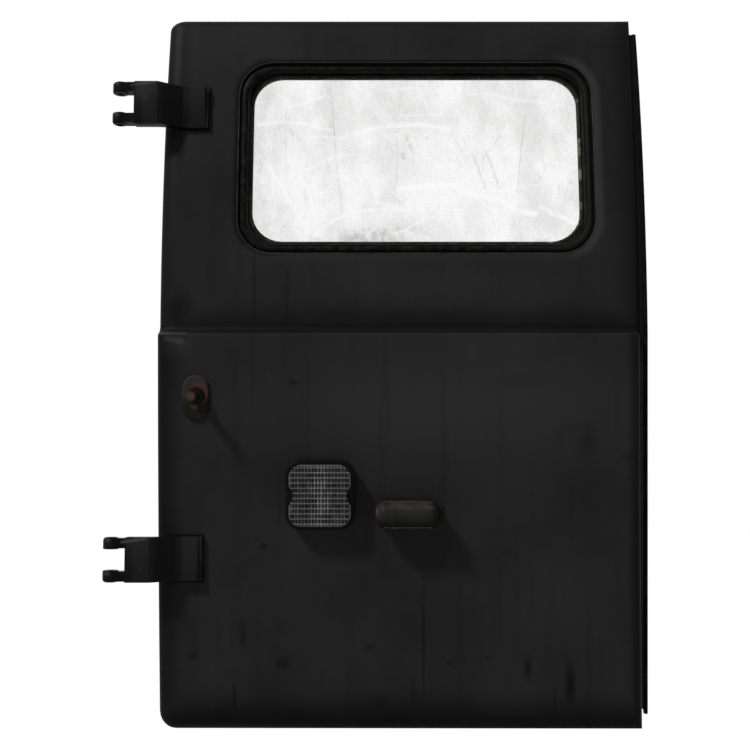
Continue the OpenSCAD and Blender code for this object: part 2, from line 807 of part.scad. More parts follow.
module hinge_gasket(s) {
    margin = gasket_margin;
    color(rubber)
        on_face(0, foot_z(s, reach(s)))
            translate([arm_foot_x - 6 * margin, -hinge_gasket_t, -fork_h / 2 - 2 * margin])
                cube([arm_foot_l + 7 * margin, hinge_gasket_t, fork_h + 4 * margin]);
}

// Flat plate behind the skin. On the curved panel its two ends touch the skin
module hinge_plate(s) {
    half = fork_h / 2 + hinge_plate_margin;
    sag = lean_of(s) > 0 ? pow(half, 2) / (2 * upper_r) + sheet_gap : 0;
    color([0.25, 0.25, 0.25])
        on_face(0, foot_z(s, reach(s)))
            translate([arm_foot_x + gasket_margin, skin_t + sag, -half])
                cube([arm_foot_l + 2 * hinge_plate_margin, hinge_plate_t, 2 * half]);
}

/* Reversing lamp */
module reversing_lamp_gasket() {
    side = rev_size - 2 * lamp_gasket_t;
    color(rubber)
        on_face(skin_gap + rev_x, rev_z)
            translate([0, -lamp_gasket_t, 0])
                plate(lamp_gasket_t)
                    round_rect(side, side, rev_r - lamp_gasket_t);
}

module reversing_lamp_housing() {
    color([0.06, 0.06, 0.06])
        on_face(skin_gap + rev_x, rev_z)
            difference() {
                rotate([90, 0, 0])
                    translate([0, 0, lamp_gasket_t])
                        soft_block(rev_size, rev_size, rev_r, rev_depth, housing_edge);
                translate([0, -rev_front - 1, 0])
                    plate(rev_depth - housing_floor + 1)
                        lens_outline(rev_lens + 2 * fit_gap);
            }
}

// Square with round corners and a notch on each side for the screws
module lens_outline(size) {
    difference() {
        round_rect(size, size, lens_r);
        for (side = [-1, 1])
            translate([side * size / 2, 0])
                polygon([
                    [side, notch_mouth / 2 + 1], [0, notch_mouth / 2], [-side * notch_d, notch_floor / 2],
                    [-side * notch_d, -notch_floor / 2], [0, -notch_mouth / 2], [side, -notch_mouth / 2 - 1]
                ]);
    }
}

module reversing_lamp_lens() {
    pitch = (rev_lens - 2 * lens_border) / rev_flutes;
    back_pitch = (rev_lens - 2 * lens_border) / lens_back_flutes;
    face = rev_front + rev_lens_proud;
    rear = -rev_front + lens_skirt;
    foot = lens_border - rev_lens / 2;
    out = rev_lens / 2;
    flutes = [
        for (i = [0 : rev_flutes - 1], a = [0 : 45 : 135])
            [-face + lens_flute * sin(a), foot + (i + a / 180) * pitch]
    ];
    back_flutes = [
        for (i = [lens_back_flutes - 1 : -1 : 0], a = [135 : -45 : 0])
            [foot + (i + a / 180) * back_pitch, rear - lens_back_flute * (1 - sin(a))]
    ];
    side_view = concat(
        [[rear, -out], [lens_edge - face, -out], [-face, lens_edge - out], [-face, foot]],
        flutes, [[-face, -foot], [-face, out - lens_edge], [lens_edge - face, out], [rear, out]]
    );
    plan_view = concat(
        [[-out, rear], [-out, lens_edge - face], [lens_edge - out, -face], [out - lens_edge, -face],
            [out, lens_edge - face], [out, rear], [-foot, rear]],
        back_flutes
    );
    color([0.8, 0.8, 0.8, 0.5])
        on_face(skin_gap + rev_x, rev_z)
            intersection() {
                translate([0, -face - 1, 0])
                    plate(rev_lens_proud + lens_skirt + 2)
                        lens_outline(rev_lens);
                translate([-rev_lens, 0, 0])
                    rotate([90, 0, 90])
                        linear_extrude(2 * rev_lens)
                            polygon(side_view);
                translate([0, 0, -rev_lens])
                    linear_extrude(2 * rev_lens)
                        polygon(plan_view);
            }
}

module reversing_lamp_reflector() {
    deep = rev_depth - housing_floor - lens_skirt - 2;
    flare = rev_lens / 2 - 2 * lens_border - reflector_neck;
    bowl = [for (a = [0 : 10 : 80]) [reflector_neck + flare * sin(a), deep * (1 - cos(a)) + reflector_t]];
    back = [for (i = [len(bowl) - 1 : -1 : 0]) bowl[i] + [reflector_t, -reflector_t]];
    color([0.75, 0.75, 0.75])
        on_face(skin_gap + rev_x, rev_z)
            translate([0, -rev_seat, 0])
                rotate([90, 0, 0])
                    rotate_extrude()
                        polygon(concat(bowl, back));
}

module reversing_lamp_bulb() {
    color([0.9, 0.9, 0.85])
        on_face(skin_gap + rev_x, rev_z)
            translate([0, -rev_seat, 0])
                rotate([90, 0, 0]) {
                    cylinder(r = bulb_r - 1, h = bulb_r);
                    translate([0, 0, 1.5 * bulb_r])
                        sphere(r = bulb_r);
                }
}

/* Number plate lamp */
// Rounded box that stands on the base
module hood_form() {
    hull()
        for (x = [-1, 1], z = [-1, 1])
            translate([x * (hood_w / 2 - hood_r), 0, z * (hood_h / 2 - hood_r)]) {
                translate([0, hood_r - hood_d, 0])
                    sphere(hood_r, $fn = 32);
                translate([0, -hood_base_t, 0])
                    rotate([90, 0, 0])
                        cylinder(r = hood_r, h = 1, $fn = 32);
            }
}

// Hollow that follows the form in two steps: the wall it leaves at the sides and at the front
module hood_hollow(side, front) {
    translate([0, front - hood_d, 0])
        plate(hood_d - front)
            round_rect(hood_w - 2 * side, hood_h - 2 * side, hood_r - side);
}

module plate_lamp_hood() {
    color([0.2, 0.17, 0.15])
        on_face(skin_gap + plate_lamp_x, plate_lamp_z)
            difference() {
                hood_form();
                hood_hollow(hood_t, 0.7 * hood_r);
                hood_hollow(0.6 * hood_r, hood_t + 1);
                translate([hood_border - hood_w / 2, hood_border - hood_d, -hood_h])
                    cube([hood_w - 2 * hood_border, hood_d - 2 * hood_border, hood_h]);
            }
}

module plate_lamp_base() {
    color([0.1, 0.1, 0.1])
        on_face(skin_gap + plate_lamp_x, plate_lamp_z)
            translate([hood_base_lap, -hood_base_t, 0])
                plate(hood_base_t)
                    round_rect(hood_w + hood_base_lap, hood_h + 2 * hood_base_lap, hood_r);
}

module plate_lamp_lens() {
    edge = hood_border + fit_gap;
    color([0.8, 0.8, 0.75, 0.5])
        on_face(skin_gap + plate_lamp_x, plate_lamp_z)
            translate([edge - hood_w / 2, edge - hood_d, -hood_h / 2])
                cube([hood_w - 2 * edge, hood_d - 2 * edge, hood_t + 1]);
}

// Bulb between two legs that stand on the base
module plate_lamp_bulb() {
    reach = hood_d / 2 - hood_base_t;
    color([0.9, 0.9, 0.85])
        on_face(skin_gap + plate_lamp_x, plate_lamp_z)
            translate([0, -hood_base_t - reach, 0]) {
                rotate([0, 90, 0])
                    cylinder(r = festoon_r, h = festoon_l, center = true);
                for (side = [-1, 1])
                    translate([side * (festoon_l / 2 - festoon_leg) - festoon_leg / 2, 0, -festoon_r / 2])
                        cube([festoon_leg, reach, festoon_r]);
            }
}

/* Door stop */
module stop_plate() {
    r = stop_plate_w / 2;
    color([0.17, 0.15, 0.14])
        on_face(stop_at, stop_z)
            rotate([90, 0, 0])
                difference() {
                    translate([stop_shift[0], stop_shift[1], 0]) {
                        for (side = [-1, 1])
                            translate([0, side * (stop_plate_h / 2 - r), 0])
                                rotate_extrude()
                                    polygon([
                                        [0, 0], [r, 0], [r, stop_plate_t - stop_edge],
                                        [r - stop_edge, stop_plate_t], [0, stop_plate_t]
                                    ]);
                        rotate([90, 0, 0])
                            linear_extrude(stop_plate_h - 2 * r, center = true)
                                soft_side(r, stop_plate_t, stop_edge);
                    }
                    cylinder(r = stop_stud_r + fit_gap, h = 3 * stop_plate_t, center = true);
                }
}

module stop_nut() {
    color([0.15, 0.14, 0.14])
        on_face(stop_at, stop_z)
            translate([0, -stop_plate_t, 0])
                rotate([90, 0, 0])
                    difference() {
                        union() {
                            cylinder(r = washer_r, h = washer_t);
                            cylinder(r = nut_r, h = nut_h, $fn = 6);
                        }
                        translate([0, 0, -1])
                            cylinder(r = stop_stud_r + fit_gap, h = nut_h + 2);
                    }
}

module stop_stud() {
    end = stud_base_t + skin_t + stop_reach;
    end_r = stop_stud_r + stud_rim;
    color([0.4, 0.25, 0.2])
        on_face(stop_at, stop_z)
            rotate([90, 0, 0])
                translate([0, 0, -skin_t - stud_base_t])
                    rotate_extrude()
                        polygon([
                            [0, 0], [stud_base_r, 0], [stud_base_r, stud_base_t],
                            [stop_stud_r, stud_base_t], [stop_stud_r, end - 6 * stud_rim],
                            [end_r, end - 5 * stud_rim], [end_r, end - stud_rim],
                            [end_r - stud_rim, end], [0, end]
                        ]);
}

leaf() outer_skin();
leaf() inner_panel();
leaf() meeting_flange();
leaf() meeting_seal();
leaf() window_surround();
leaf() window_collar();
leaf() window_seal();
leaf() window_filler_strip();
leaf() window_inner_lip();
leaf() window_glass();
leaf() hinge_arm(hinge_spacing);  // upper_hinge_arm
leaf() hinge_arm(0);  // lower_hinge_arm
leaf() hinge_gasket(hinge_spacing);  // upper_hinge_gasket
leaf() hinge_gasket(0);  // lower_hinge_gasket
leaf() hinge_plate(hinge_spacing);  // upper_hinge_plate
leaf() hinge_plate(0);  // lower_hinge_plate
leaf() reversing_lamp_gasket();
leaf() reversing_lamp_housing();
leaf() reversing_lamp_reflector();
leaf() reversing_lamp_bulb();
leaf() reversing_lamp_lens();
leaf() plate_lamp_base();
leaf() plate_lamp_hood();
leaf() plate_lamp_bulb();
leaf() plate_lamp_lens();
leaf() stop_plate();
leaf() stop_nut();
leaf() stop_stud();
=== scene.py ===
import math

import bpy
from mathutils import Matrix, Vector


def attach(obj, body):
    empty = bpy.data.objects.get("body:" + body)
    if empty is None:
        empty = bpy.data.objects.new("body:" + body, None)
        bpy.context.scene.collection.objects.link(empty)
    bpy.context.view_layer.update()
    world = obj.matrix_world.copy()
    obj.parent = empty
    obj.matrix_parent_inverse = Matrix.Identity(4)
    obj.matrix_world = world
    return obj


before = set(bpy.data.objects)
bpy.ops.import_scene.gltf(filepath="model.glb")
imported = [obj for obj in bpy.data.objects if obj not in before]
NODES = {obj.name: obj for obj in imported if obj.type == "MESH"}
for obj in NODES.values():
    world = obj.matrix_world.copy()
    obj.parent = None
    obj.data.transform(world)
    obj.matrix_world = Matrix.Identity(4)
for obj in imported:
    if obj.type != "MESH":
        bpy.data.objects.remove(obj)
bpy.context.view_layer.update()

# The door stands upright on its hinge axis, and its lower panel leans from it
TILT = math.radians(5.0519)
STANDOFF = 0.022
# Upper panel: height of the belt, step and curve, in the leaf's own frame
BELT_Z = 0.336
BELT_STEP = 0.018
UPPER_R = 2.24
UPPER_LEAN = math.radians(2.8)
# The window's edge in the skin, in the leaf's frame: middle, half width, half height and corner radius
WINDOW = (0.454, 0.6128, 0.276, 0.1544, 0.054)
# The photograph: its size in pixels, the camera's distance and the width it sees on the lower panel
PHOTO = 750
CAMERA_DISTANCE = 1.6
VIEW_WIDTH = 1.125
VIEW_X = 0.3905
VIEW_Z = 0.273
PIXEL = VIEW_WIDTH / PHOTO
SENSOR = 36
# The stage: the floor's place, size and shade, the world's level and the key lamp's direction, level and spread
FLOOR_X = 0.39
FLOOR_Z = -0.72
FLOOR_SIZE = 24
FLOOR_SHADE = 0.9
WORLD_LEVEL = 0.25
KEY_DIRECTION = (-0.53, -0.48, 0.70)
KEY_LEVEL = 1.25
KEY_SPREAD = 9


def leaf_to_row(x, y, z):
    """A point of the leaf's own frame in the frame of the model."""
    y += STANDOFF
    return Vector((x, y * math.cos(TILT) - z * math.sin(TILT), y * math.sin(TILT) + z * math.cos(TILT)))


def row_to_leaf(place):
    """A point of the model's frame in the leaf's own."""
    x, y, z = place
    return Vector((x, y * math.cos(TILT) + z * math.sin(TILT) - STANDOFF, z * math.cos(TILT) - y * math.sin(TILT)))


def skin_depth(z):
    """Depth of the outer skin at a height of the leaf."""
    if z <= BELT_Z:
        return 0.0
    lean = math.asin(math.sin(UPPER_LEAN) + (z - BELT_Z) / UPPER_R)
    return BELT_STEP + UPPER_R * (math.cos(UPPER_LEAN) - math.cos(lean))


def on_skin(px, py):
    """The place on the skin that a pixel of the photograph shows, as x and z of the leaf."""
    depth = 0.0
    for _ in range(8):
        scale = PIXEL * (1 + depth / CAMERA_DISTANCE)
        z = VIEW_Z + (PHOTO / 2 - py) * scale
        depth = skin_depth(z)
    return VIEW_X + (px - PHOTO / 2) * PIXEL * (1 + depth / CAMERA_DISTANCE), z


# Camera, floor and light
def make_camera():
    """The photograph's camera, square on to the lower panel."""
    data = bpy.data.cameras.new("camera")
    data.sensor_width = SENSOR
    data.lens = SENSOR * CAMERA_DISTANCE / VIEW_WIDTH
    camera = bpy.data.objects.new("camera", data)
    bpy.context.collection.objects.link(camera)
    place = leaf_to_row(VIEW_X, -CAMERA_DISTANCE, VIEW_Z)
    right = Vector((1, 0, 0))
    up = Vector((0, -math.sin(TILT), math.cos(TILT)))
    turn = Matrix((right, up, right.cross(up))).transposed()
    camera.matrix_world = Matrix.Translation(place) @ turn.to_4x4()
    bpy.context.scene.camera = camera


def white_where_seen(tree, soft, white):
    """Shows the background's white to the camera, to reflections and through glass, and lights with the soft one."""
    paths = tree.nodes.new("ShaderNodeLightPath")
    seen = paths.outputs["Is Camera Ray"]
    for name in ("Is Glossy Ray", "Is Transmission Ray"):
        most = tree.nodes.new("ShaderNodeMath")
        most.operation = "MAXIMUM"
        tree.links.new(seen, most.inputs[0])
        tree.links.new(paths.outputs[name], most.inputs[1])
        seen = most.outputs[0]
    mix = tree.nodes.new("ShaderNodeMixShader")
    tree.links.new(seen, mix.inputs[0])
    tree.links.new(soft, mix.inputs[1])
    tree.links.new(white, mix.inputs[2])
    return mix.outputs[0]


def make_stage():
    """A white world and a matte floor well below the door."""
    world = bpy.data.worlds.new("studio")
    bpy.context.scene.world = world
    world.use_nodes = True
    tree = world.node_tree
    soft = tree.nodes["Background"]
    soft.inputs["Color"].default_value = (1, 1, 1, 1)
    soft.inputs["Strength"].default_value = WORLD_LEVEL
    white = tree.nodes.new("ShaderNodeBackground")
    white.inputs["Color"].default_value = (1, 1, 1, 1)
    white.inputs["Strength"].default_value = 1.0
    shown = white_where_seen(tree, soft.outputs[0], white.outputs[0])
    tree.links.new(shown, tree.nodes["World Output"].inputs["Surface"])

    bpy.ops.mesh.primitive_plane_add(size=FLOOR_SIZE, location=(FLOOR_X, 0, FLOOR_Z))
    floor = bpy.context.object
    floor.name = "floor"
    material = bpy.data.materials.new("floor")
    material.use_nodes = True
    plain = material.node_tree.nodes["Principled BSDF"]
    plain.inputs["Base Color"].default_value = (FLOOR_SHADE, FLOOR_SHADE, FLOOR_SHADE, 1)
    plain.inputs["Roughness"].default_value = 1
    plain.inputs["Specular IOR Level"].default_value = 0
    floor.data.materials.append(material)


def make_key():
    """A soft distant lamp. At level 1 a surface that faces it shows its colour as written."""
    data = bpy.data.lights.new("key", "SUN")
    data.angle = math.radians(KEY_SPREAD)
    data.energy = KEY_LEVEL * math.pi
    lamp = bpy.data.objects.new("key", data)
    bpy.context.collection.objects.link(lamp)
    lamp.rotation_euler = Vector(KEY_DIRECTION).to_track_quat("Z", "Y").to_euler()


# Shader helpers
def grey(level):
    return level, level, level


# Near-black colour of the painted shade on the skin, the hinges and the window's bead
SHADE_BLACK = grey(0.0006)


class Shader:
    """A material's node tree, with a short method for each kind of node that the materials use."""

    def __init__(self, name):
        self.material = bpy.data.materials.new(name)
        self.material.use_nodes = True
        self.tree = self.material.node_tree
        self.bsdf = self.tree.nodes["Principled BSDF"]

    def add(self, kind, **settings):
        node = self.tree.nodes.new(kind)
        for key, value in settings.items():
            setattr(node, key, value)
        return node

    def put(self, socket, value):
        """Links a socket to another, or sets its value."""
        if isinstance(value, bpy.types.NodeSocket):
            self.tree.links.new(value, socket)
        elif isinstance(value, (tuple, list)) and len(value) == 3 and len(socket.default_value) == 4:
            socket.default_value = (*value, 1)
        else:
            socket.default_value = value

    def math(self, operation, a, b=0.0, clamp=False):
        node = self.add("ShaderNodeMath", operation=operation, use_clamp=clamp)
        self.put(node.inputs[0], a)
        self.put(node.inputs[1], b)
        return node.outputs[0]

    def vector(self, operation, a, b=(0, 0, 0), output="Vector"):
        node = self.add("ShaderNodeVectorMath", operation=operation)
        self.put(node.inputs[0], a)
        self.put(node.inputs[1], b)
        return node.outputs[output]

    def chain(self, operation, values):
        """One operation over all values, from the first on."""
        out = values[0]
        for value in values[1:]:
            out = self.math(operation, out, value)
        return out

    def times(self, *values):
        return self.chain("MULTIPLY", values)

    def plus(self, *values):
        return self.chain("ADD", values)

    def minus(self, a, b):
        return self.math("SUBTRACT", a, b)

    def most(self, *values):
        return self.chain("MAXIMUM", values)

    def off(self, value, middle):
        """How far a value is from a middle."""
        return self.math("ABSOLUTE", self.minus(value, middle))

    def hypotenuse(self, *sides):
        """The length of a line from how far it runs each way."""
        return self.math("SQRT", self.plus(*[self.math("POWER", side, 2.0) for side in sides]))

    def between(self, value, low, high, out_low=0.0, out_high=1.0):
        """Smooth step from one output to the other as the value goes from low to high, which may be the smaller."""
        node = self.add("ShaderNodeMapRange", interpolation_type="SMOOTHSTEP")
        for socket, v in zip(node.inputs, (value, low, high, out_low, out_high)):
            self.put(socket, v)
        return node.outputs[0]

    def mix(self, share, a, b):
        """From one colour to another by a share."""
        node = self.add("ShaderNodeMix", data_type="RGBA")
        self.put(node.inputs[0], share)
        self.put(node.inputs[6], a)
        self.put(node.inputs[7], b)
        return node.outputs[2]

    def place(self):
        """The point on the object, in metres of the model's frame."""
        return self.add("ShaderNodeTexCoord").outputs["Object"]

    def leaf_place(self):
        """The point in the leaf's own frame."""
        turn = self.add("ShaderNodeMapping")
        self.put(turn.inputs["Vector"], self.place())
        turn.inputs["Rotation"].default_value = (-TILT, 0, 0)
        turn.inputs["Location"].default_value = (0, -STANDOFF, 0)
        return turn.outputs[0]

    def scaled(self, vector, scale, location=(0, 0, 0)):
        node = self.add("ShaderNodeMapping")
        self.put(node.inputs["Vector"], vector)
        node.inputs["Scale"].default_value = scale
        node.inputs["Location"].default_value = location
        return node.outputs[0]

    def noise(self, vector, scale, detail=3.0, roughness=0.5):
        node = self.add("ShaderNodeTexNoise")
        self.put(node.inputs["Vector"], vector)
        node.inputs["Scale"].default_value = scale
        node.inputs["Detail"].default_value = detail
        node.inputs["Roughness"].default_value = roughness
        return node.outputs[0]

    def uneven(self, vector, scale, low, high):
        """A value, such as a roughness, that varies over the surface."""
        return self.between(self.noise(vector, scale), 0.3, 0.7, low, high)

    def bump(self, height, distance, normal=None):
        node = self.add("ShaderNodeBump")
        node.inputs["Strength"].default_value = 1.0
        node.inputs["Distance"].default_value = distance
        self.put(node.inputs["Height"], height)
        if normal is not None:
            self.put(node.inputs["Normal"], normal)
        return node.outputs[0]

    def split(self, vector):
        node = self.add("ShaderNodeSeparateXYZ")
        self.put(node.inputs[0], vector)
        return node.outputs

    def blot(self, vector, x, z, wide, high, soft=1.0):
        """1 at a place of the leaf, falling to 0 at the edge of an ellipse."""
        near = self.scaled(vector, (1 / wide, 0, 1 / high), (-x / wide, 0, -z / high))
        return self.between(self.vector("LENGTH", near, output="Value"), 1.0, 1.0 - soft)

    def stroke(self, vector, start, end, wide, soft=1.0):
        """1 along a straight line between two places of the leaf, given as x and z, falling to 0 beside it."""
        way = (end[0] - start[0], 0, end[1] - start[1])
        square = way[0] ** 2 + way[2] ** 2
        off = self.vector("SUBTRACT", vector, (start[0], 0, start[1]))
        share = self.vector("DOT_PRODUCT", off, tuple(v / square for v in way), "Value")
        share = self.math("MULTIPLY", share, 1.0, clamp=True)
        along = self.add("ShaderNodeVectorMath", operation="SCALE")
        along.inputs[0].default_value = way
        self.put(along.inputs["Scale"], share)
        far = self.vector("LENGTH", self.vector("SUBTRACT", off, along.outputs[0]), output="Value")
        return self.between(far, wide, wide * (1 - soft))

    def window_inset(self, x, z):
        """Distance in from the edge of the skin's window, below 0 on the skin."""
        mid_x, mid_z, wide, high, radius = WINDOW
        sides = []
        for value, mid, half in ((x, mid_x, wide), (z, mid_z, high)):
            sides.append(self.minus(self.off(value, mid), half - radius))
        corner = self.hypotenuse(*[self.most(side, 0.0) for side in sides])
        straight = self.math("MINIMUM", self.most(*sides), 0.0)
        return self.minus(radius, self.plus(corner, straight))

    def over(self, share, under, upper):
        """One shader laid over another by a share."""
        node = self.add("ShaderNodeMixShader")
        for socket, value in zip(node.inputs, (share, under, upper)):
            self.put(socket, value)
        return node.outputs[0]

    def turned(self, vector, angle, shift):
        """The vector turned about y and moved, so that each set of scratches has its own pattern."""
        node = self.add("ShaderNodeMapping")
        self.put(node.inputs["Vector"], vector)
        node.inputs["Rotation"].default_value = (0, angle, 0)
        node.inputs["Location"].default_value = (shift, 0, shift)
        return node.outputs[0]

    def finish(self, color, roughness, normal=None, metallic=None, specular=None, ior=None):
        """Sets the surface's inputs and gives the material."""
        for name, value in (
            ("Base Color", color), ("Roughness", roughness), ("Normal", normal), ("Metallic", metallic),
            ("Specular IOR Level", specular), ("IOR", ior),
        ):
            if value is not None:
                self.put(self.bsdf.inputs[name], value)
        return self.material


# Dirt on the skin, by its place in the photograph: x, y, half width and half height in pixels, strength
DIRT = [
    (257, 240, 2.2, 200, 0.30), (289, 300, 2.0, 50, 0.22), (425, 640, 1.8, 75, 0.45),
    (310, 45, 5, 22, 0.22), (245, 632, 4, 22, 0.40), (236, 694, 2, 16, 0.50), (372, 645, 6, 7, 0.35),
    (452, 661, 4, 3, 0.40), (530, 666, 4, 14, 0.50), (572, 682, 5, 26, 0.65), (556, 700, 2, 18, 0.35),
    (286, 662, 7, 10, 0.38), (195, 654, 7, 5, 0.30), (380, 700, 10, 14, 0.30), (300, 712, 8, 8, 0.35),
    (510, 551, 5, 4, 0.22), (590, 440, 10, 26, 0.22), (520, 380, 22, 10, 0.12), (415, 690, 3, 20, 0.25),
    (295, 380, 5, 5, 0.34), (265, 544, 4.5, 5, 0.42), (345, 38, 4, 4, 0.20), (192, 214, 6, 4, 0.20),
    (575, 425, 14, 6, 0.16), (630, 455, 7, 5, 0.26), (560, 434, 10, 14, 0.12), (490, 655, 3, 3, 0.22),
]
# A blot fades towards its edge, so it is drawn wider, higher and stronger than it looks
DIRT_WIDER, DIRT_HIGHER, DIRT_STRONGER, DIRT_MOST = 1.6, 1.25, 1.5, 0.9
# How far, in metres, noise moves the edges of the dirt
WOBBLE = 0.006
# Lighter, dusty areas: x and y in the photograph, half width and half height in metres, share and colour
DUST = [
    (450, 405, 0.52, 0.150, 1.00, (0.0170, 0.0170, 0.0169)),
    (440, 285, 0.30, 0.060, 0.62, (0.0165, 0.0165, 0.0164)),
    (560, 610, 0.17, 0.130, 0.55, (0.0160, 0.0160, 0.0159)),
]


def skin_paint():
    """Worn paint, dusty and streaked, with painted shade along the edges and above the belt, and painted highlights on
    the shoulder.
    """
    s = Shader("worn_black_paint")
    leaf = s.leaf_place()
    x, _, z = s.split(leaf)
    cloud = s.noise(leaf, 5.5, 5, 0.55)
    grain = s.noise(leaf, 60, 4, 0.6)
    runs = s.noise(s.scaled(leaf, (46, 1, 2.6)), 1.0, 4, 0.6)
    wobble = s.add("ShaderNodeMixRGB", blend_type="ADD")
    wobble.inputs[0].default_value = WOBBLE
    s.put(wobble.inputs[1], leaf)
    s.put(wobble.inputs[2], s.add("ShaderNodeTexNoise").outputs["Color"])
    near = wobble.outputs[0]

    # Dirt: the marks of the photograph, grime along the foot, and faint vertical runs
    marks = []
    for px, py, wide, high, strength in DIRT:
        spot = s.blot(near, *on_skin(px, py), DIRT_WIDER * wide * PIXEL, DIRT_HIGHER * high * PIXEL)
        marks.append(s.times(spot, min(DIRT_MOST, DIRT_STRONGER * strength)))
    blotches = s.between(s.noise(s.scaled(leaf, (22, 1, 12)), 1.0, 5, 0.62), 0.50, 0.72)
    foot = s.times(s.between(z, -0.17, -0.262, 0.0, 0.5), blotches)
    dirt = s.plus(s.most(*marks, foot), s.times(s.between(runs, 0.48, 0.75), 0.22))
    base = s.mix(s.between(cloud, 0.3, 0.7), grey(0.0080), (0.0124, 0.0124, 0.0123))
    base = s.mix(s.between(grain, 0.35, 0.75, 0.0, 0.15), base, (0.0165, 0.0163, 0.0158))
    for px, py, wide, high, share, dust in DUST:
        base = s.mix(s.times(s.blot(leaf, *on_skin(px, py), wide, high), share), base, dust)
    color = s.mix(s.math("MINIMUM", dirt, DIRT_MOST), base, grey(0.0022))

    def shade_band(value, clear, dark, share, part=None):
        """Painted shade, from nothing at one place to its share at the other, in one part of the skin."""
        shade = s.between(value, clear, dark, 0.0, share)
        return shade if part is None else s.times(shade, part)

    upper = s.between(z, BELT_Z - 0.002, BELT_Z + 0.002)
    lower = s.minus(1.0, upper)
    inset = s.window_inset(x, z)
    # Painted shade round the window's rim, along the side, bottom and top folds and in the hollow above the belt; the
    # same black also darkens a broad patch on the upper left
    rim_shade = s.most(
        s.times(s.between(inset, -0.0110, -0.0010), s.between(x, 0.27, 0.21)),
        s.times(s.between(inset, -0.0050, -0.0010), s.between(z, 0.70, 0.76)))
    painted_shade = s.most(
        shade_band(x, 0.113, 0.066, 0.74, lower),
        shade_band(x, 0.072, 0.067, 0.75, lower),
        shade_band(x, 0.100, 0.063, 0.55, upper),
        shade_band(x, 0.082, 0.071, 0.55, upper),
        shade_band(x, 0.108, 0.085, 0.50, s.between(z, 0.56, 0.62)),
        shade_band(x, 0.735, 0.800, 0.68, upper),
        shade_band(x, 0.765, 0.789, 0.78, lower),
        shade_band(x, 0.140, 0.090, 0.66, s.times(s.between(z, 0.43, 0.37), upper)),
        shade_band(z, -0.190, -0.256, 0.90),
        shade_band(z, -0.232, -0.248, 0.86),
        shade_band(z, -0.2515, -0.2555, 0.96),
        shade_band(z, BELT_Z + 0.050, BELT_Z + 0.020, 0.52, upper),
        shade_band(z, BELT_Z + 0.024, BELT_Z + 0.016, 0.66, upper),
        shade_band(z, BELT_Z + 0.016, BELT_Z + 0.012, 0.80, s.between(z, BELT_Z + 0.0035, BELT_Z + 0.007)),
        shade_band(z, 0.826, 0.829, 0.35, s.between(z, 0.838, 0.835)),
        s.times(s.blot(leaf, *on_skin(200, 225), 0.11, 0.22, 0.9), 0.20),
        s.times(rim_shade, 0.80))
    color = s.mix(painted_shade, color, SHADE_BLACK)

    # Painted highlights: beside the window where the skin rounds in, on the shoulder's crest, and in a wedge of light
    # under its left end
    beside = s.most(s.between(x, 0.66, 0.72), s.between(z, 0.48, 0.462, 0.0, 0.28))
    lit = s.times(s.between(inset, -0.0170, -0.0040), beside)
    color = s.mix(s.times(lit, 0.42), color, (0.036, 0.036, 0.037))
    crest = s.times(
        s.between(z, BELT_Z - 0.0030, BELT_Z - 0.0010), s.between(z, BELT_Z + 0.0030, BELT_Z + 0.0005),
        s.between(x, 0.114, 0.098, 0.04, 1.0))
    wedge = s.stroke(s.scaled(near, (1, 0, 1)), on_skin(167, 336.0), on_skin(183, 339.2), 0.0085)
    wedge = s.times(wedge, s.between(x, 0.060, 0.095, 0.35, 1.0))
    glow = s.times(s.blot(leaf, *on_skin(176, 346), 0.030, 0.026), 0.26)
    color = s.mix(s.times(s.most(crest, wedge, glow), 0.62), color, grey(0.034))
    rough = s.between(cloud, 0.25, 0.75, 0.44, 0.58)
    fine = s.bump(s.noise(leaf, 420, 2, 0.5), 0.00004)
    return s.finish(color, rough, s.bump(s.noise(leaf, 9, 2, 0.4), 0.0006, fine), specular=0.03)


def plain_paint(name, color, roughness, specular, wear):
    """Even paint with slight clouds, rubbed paler in places."""
    s = Shader(name)
    p = s.place()
    dark = tuple(c * 0.75 for c in color)
    shade = s.mix(s.between(s.noise(p, 14, 4, 0.55), 0.3, 0.7), dark, color)
    pale = tuple(min(1, c * 2.2 + wear) for c in color)
    shade = s.mix(s.between(s.noise(p, 90, 5, 0.65), 0.60, 0.78, 0.0, 0.35), shade, pale)
    rough = s.uneven(p, 30, roughness - 0.06, roughness + 0.08)
    return s.finish(shade, rough, s.bump(s.noise(p, 260), 0.00005), specular=specular)


def flange_paint():
    """Dusty paint, with painted shade above the belt, where the skin's fold shades the flange."""
    s = Shader("flange_paint")
    leaf = s.leaf_place()
    z = s.split(leaf)[2]
    worn = s.noise(leaf, 70, 5, 0.62)
    shade = s.mix(s.between(s.noise(leaf, 14, 4, 0.55), 0.3, 0.7), grey(0.0140), (0.0190, 0.0190, 0.0189))
    shade = s.mix(s.between(worn, 0.58, 0.76, 0.0, 0.4), shade, (0.0300, 0.0300, 0.0290))
    # Painted shade above the belt
    shade = s.mix(s.between(z, BELT_Z - 0.060, BELT_Z, 0.0, 0.88), shade, grey(0.0018))
    return s.finish(shade, s.uneven(leaf, 30, 0.44, 0.58), s.bump(worn, 0.00008), specular=0.03)


# The hinge forks: their heights on the hinge axis, and how far each ear's middle is from there
HINGE_HEIGHTS = (0.0, 0.692)
EAR_MIDDLE = 0.0242


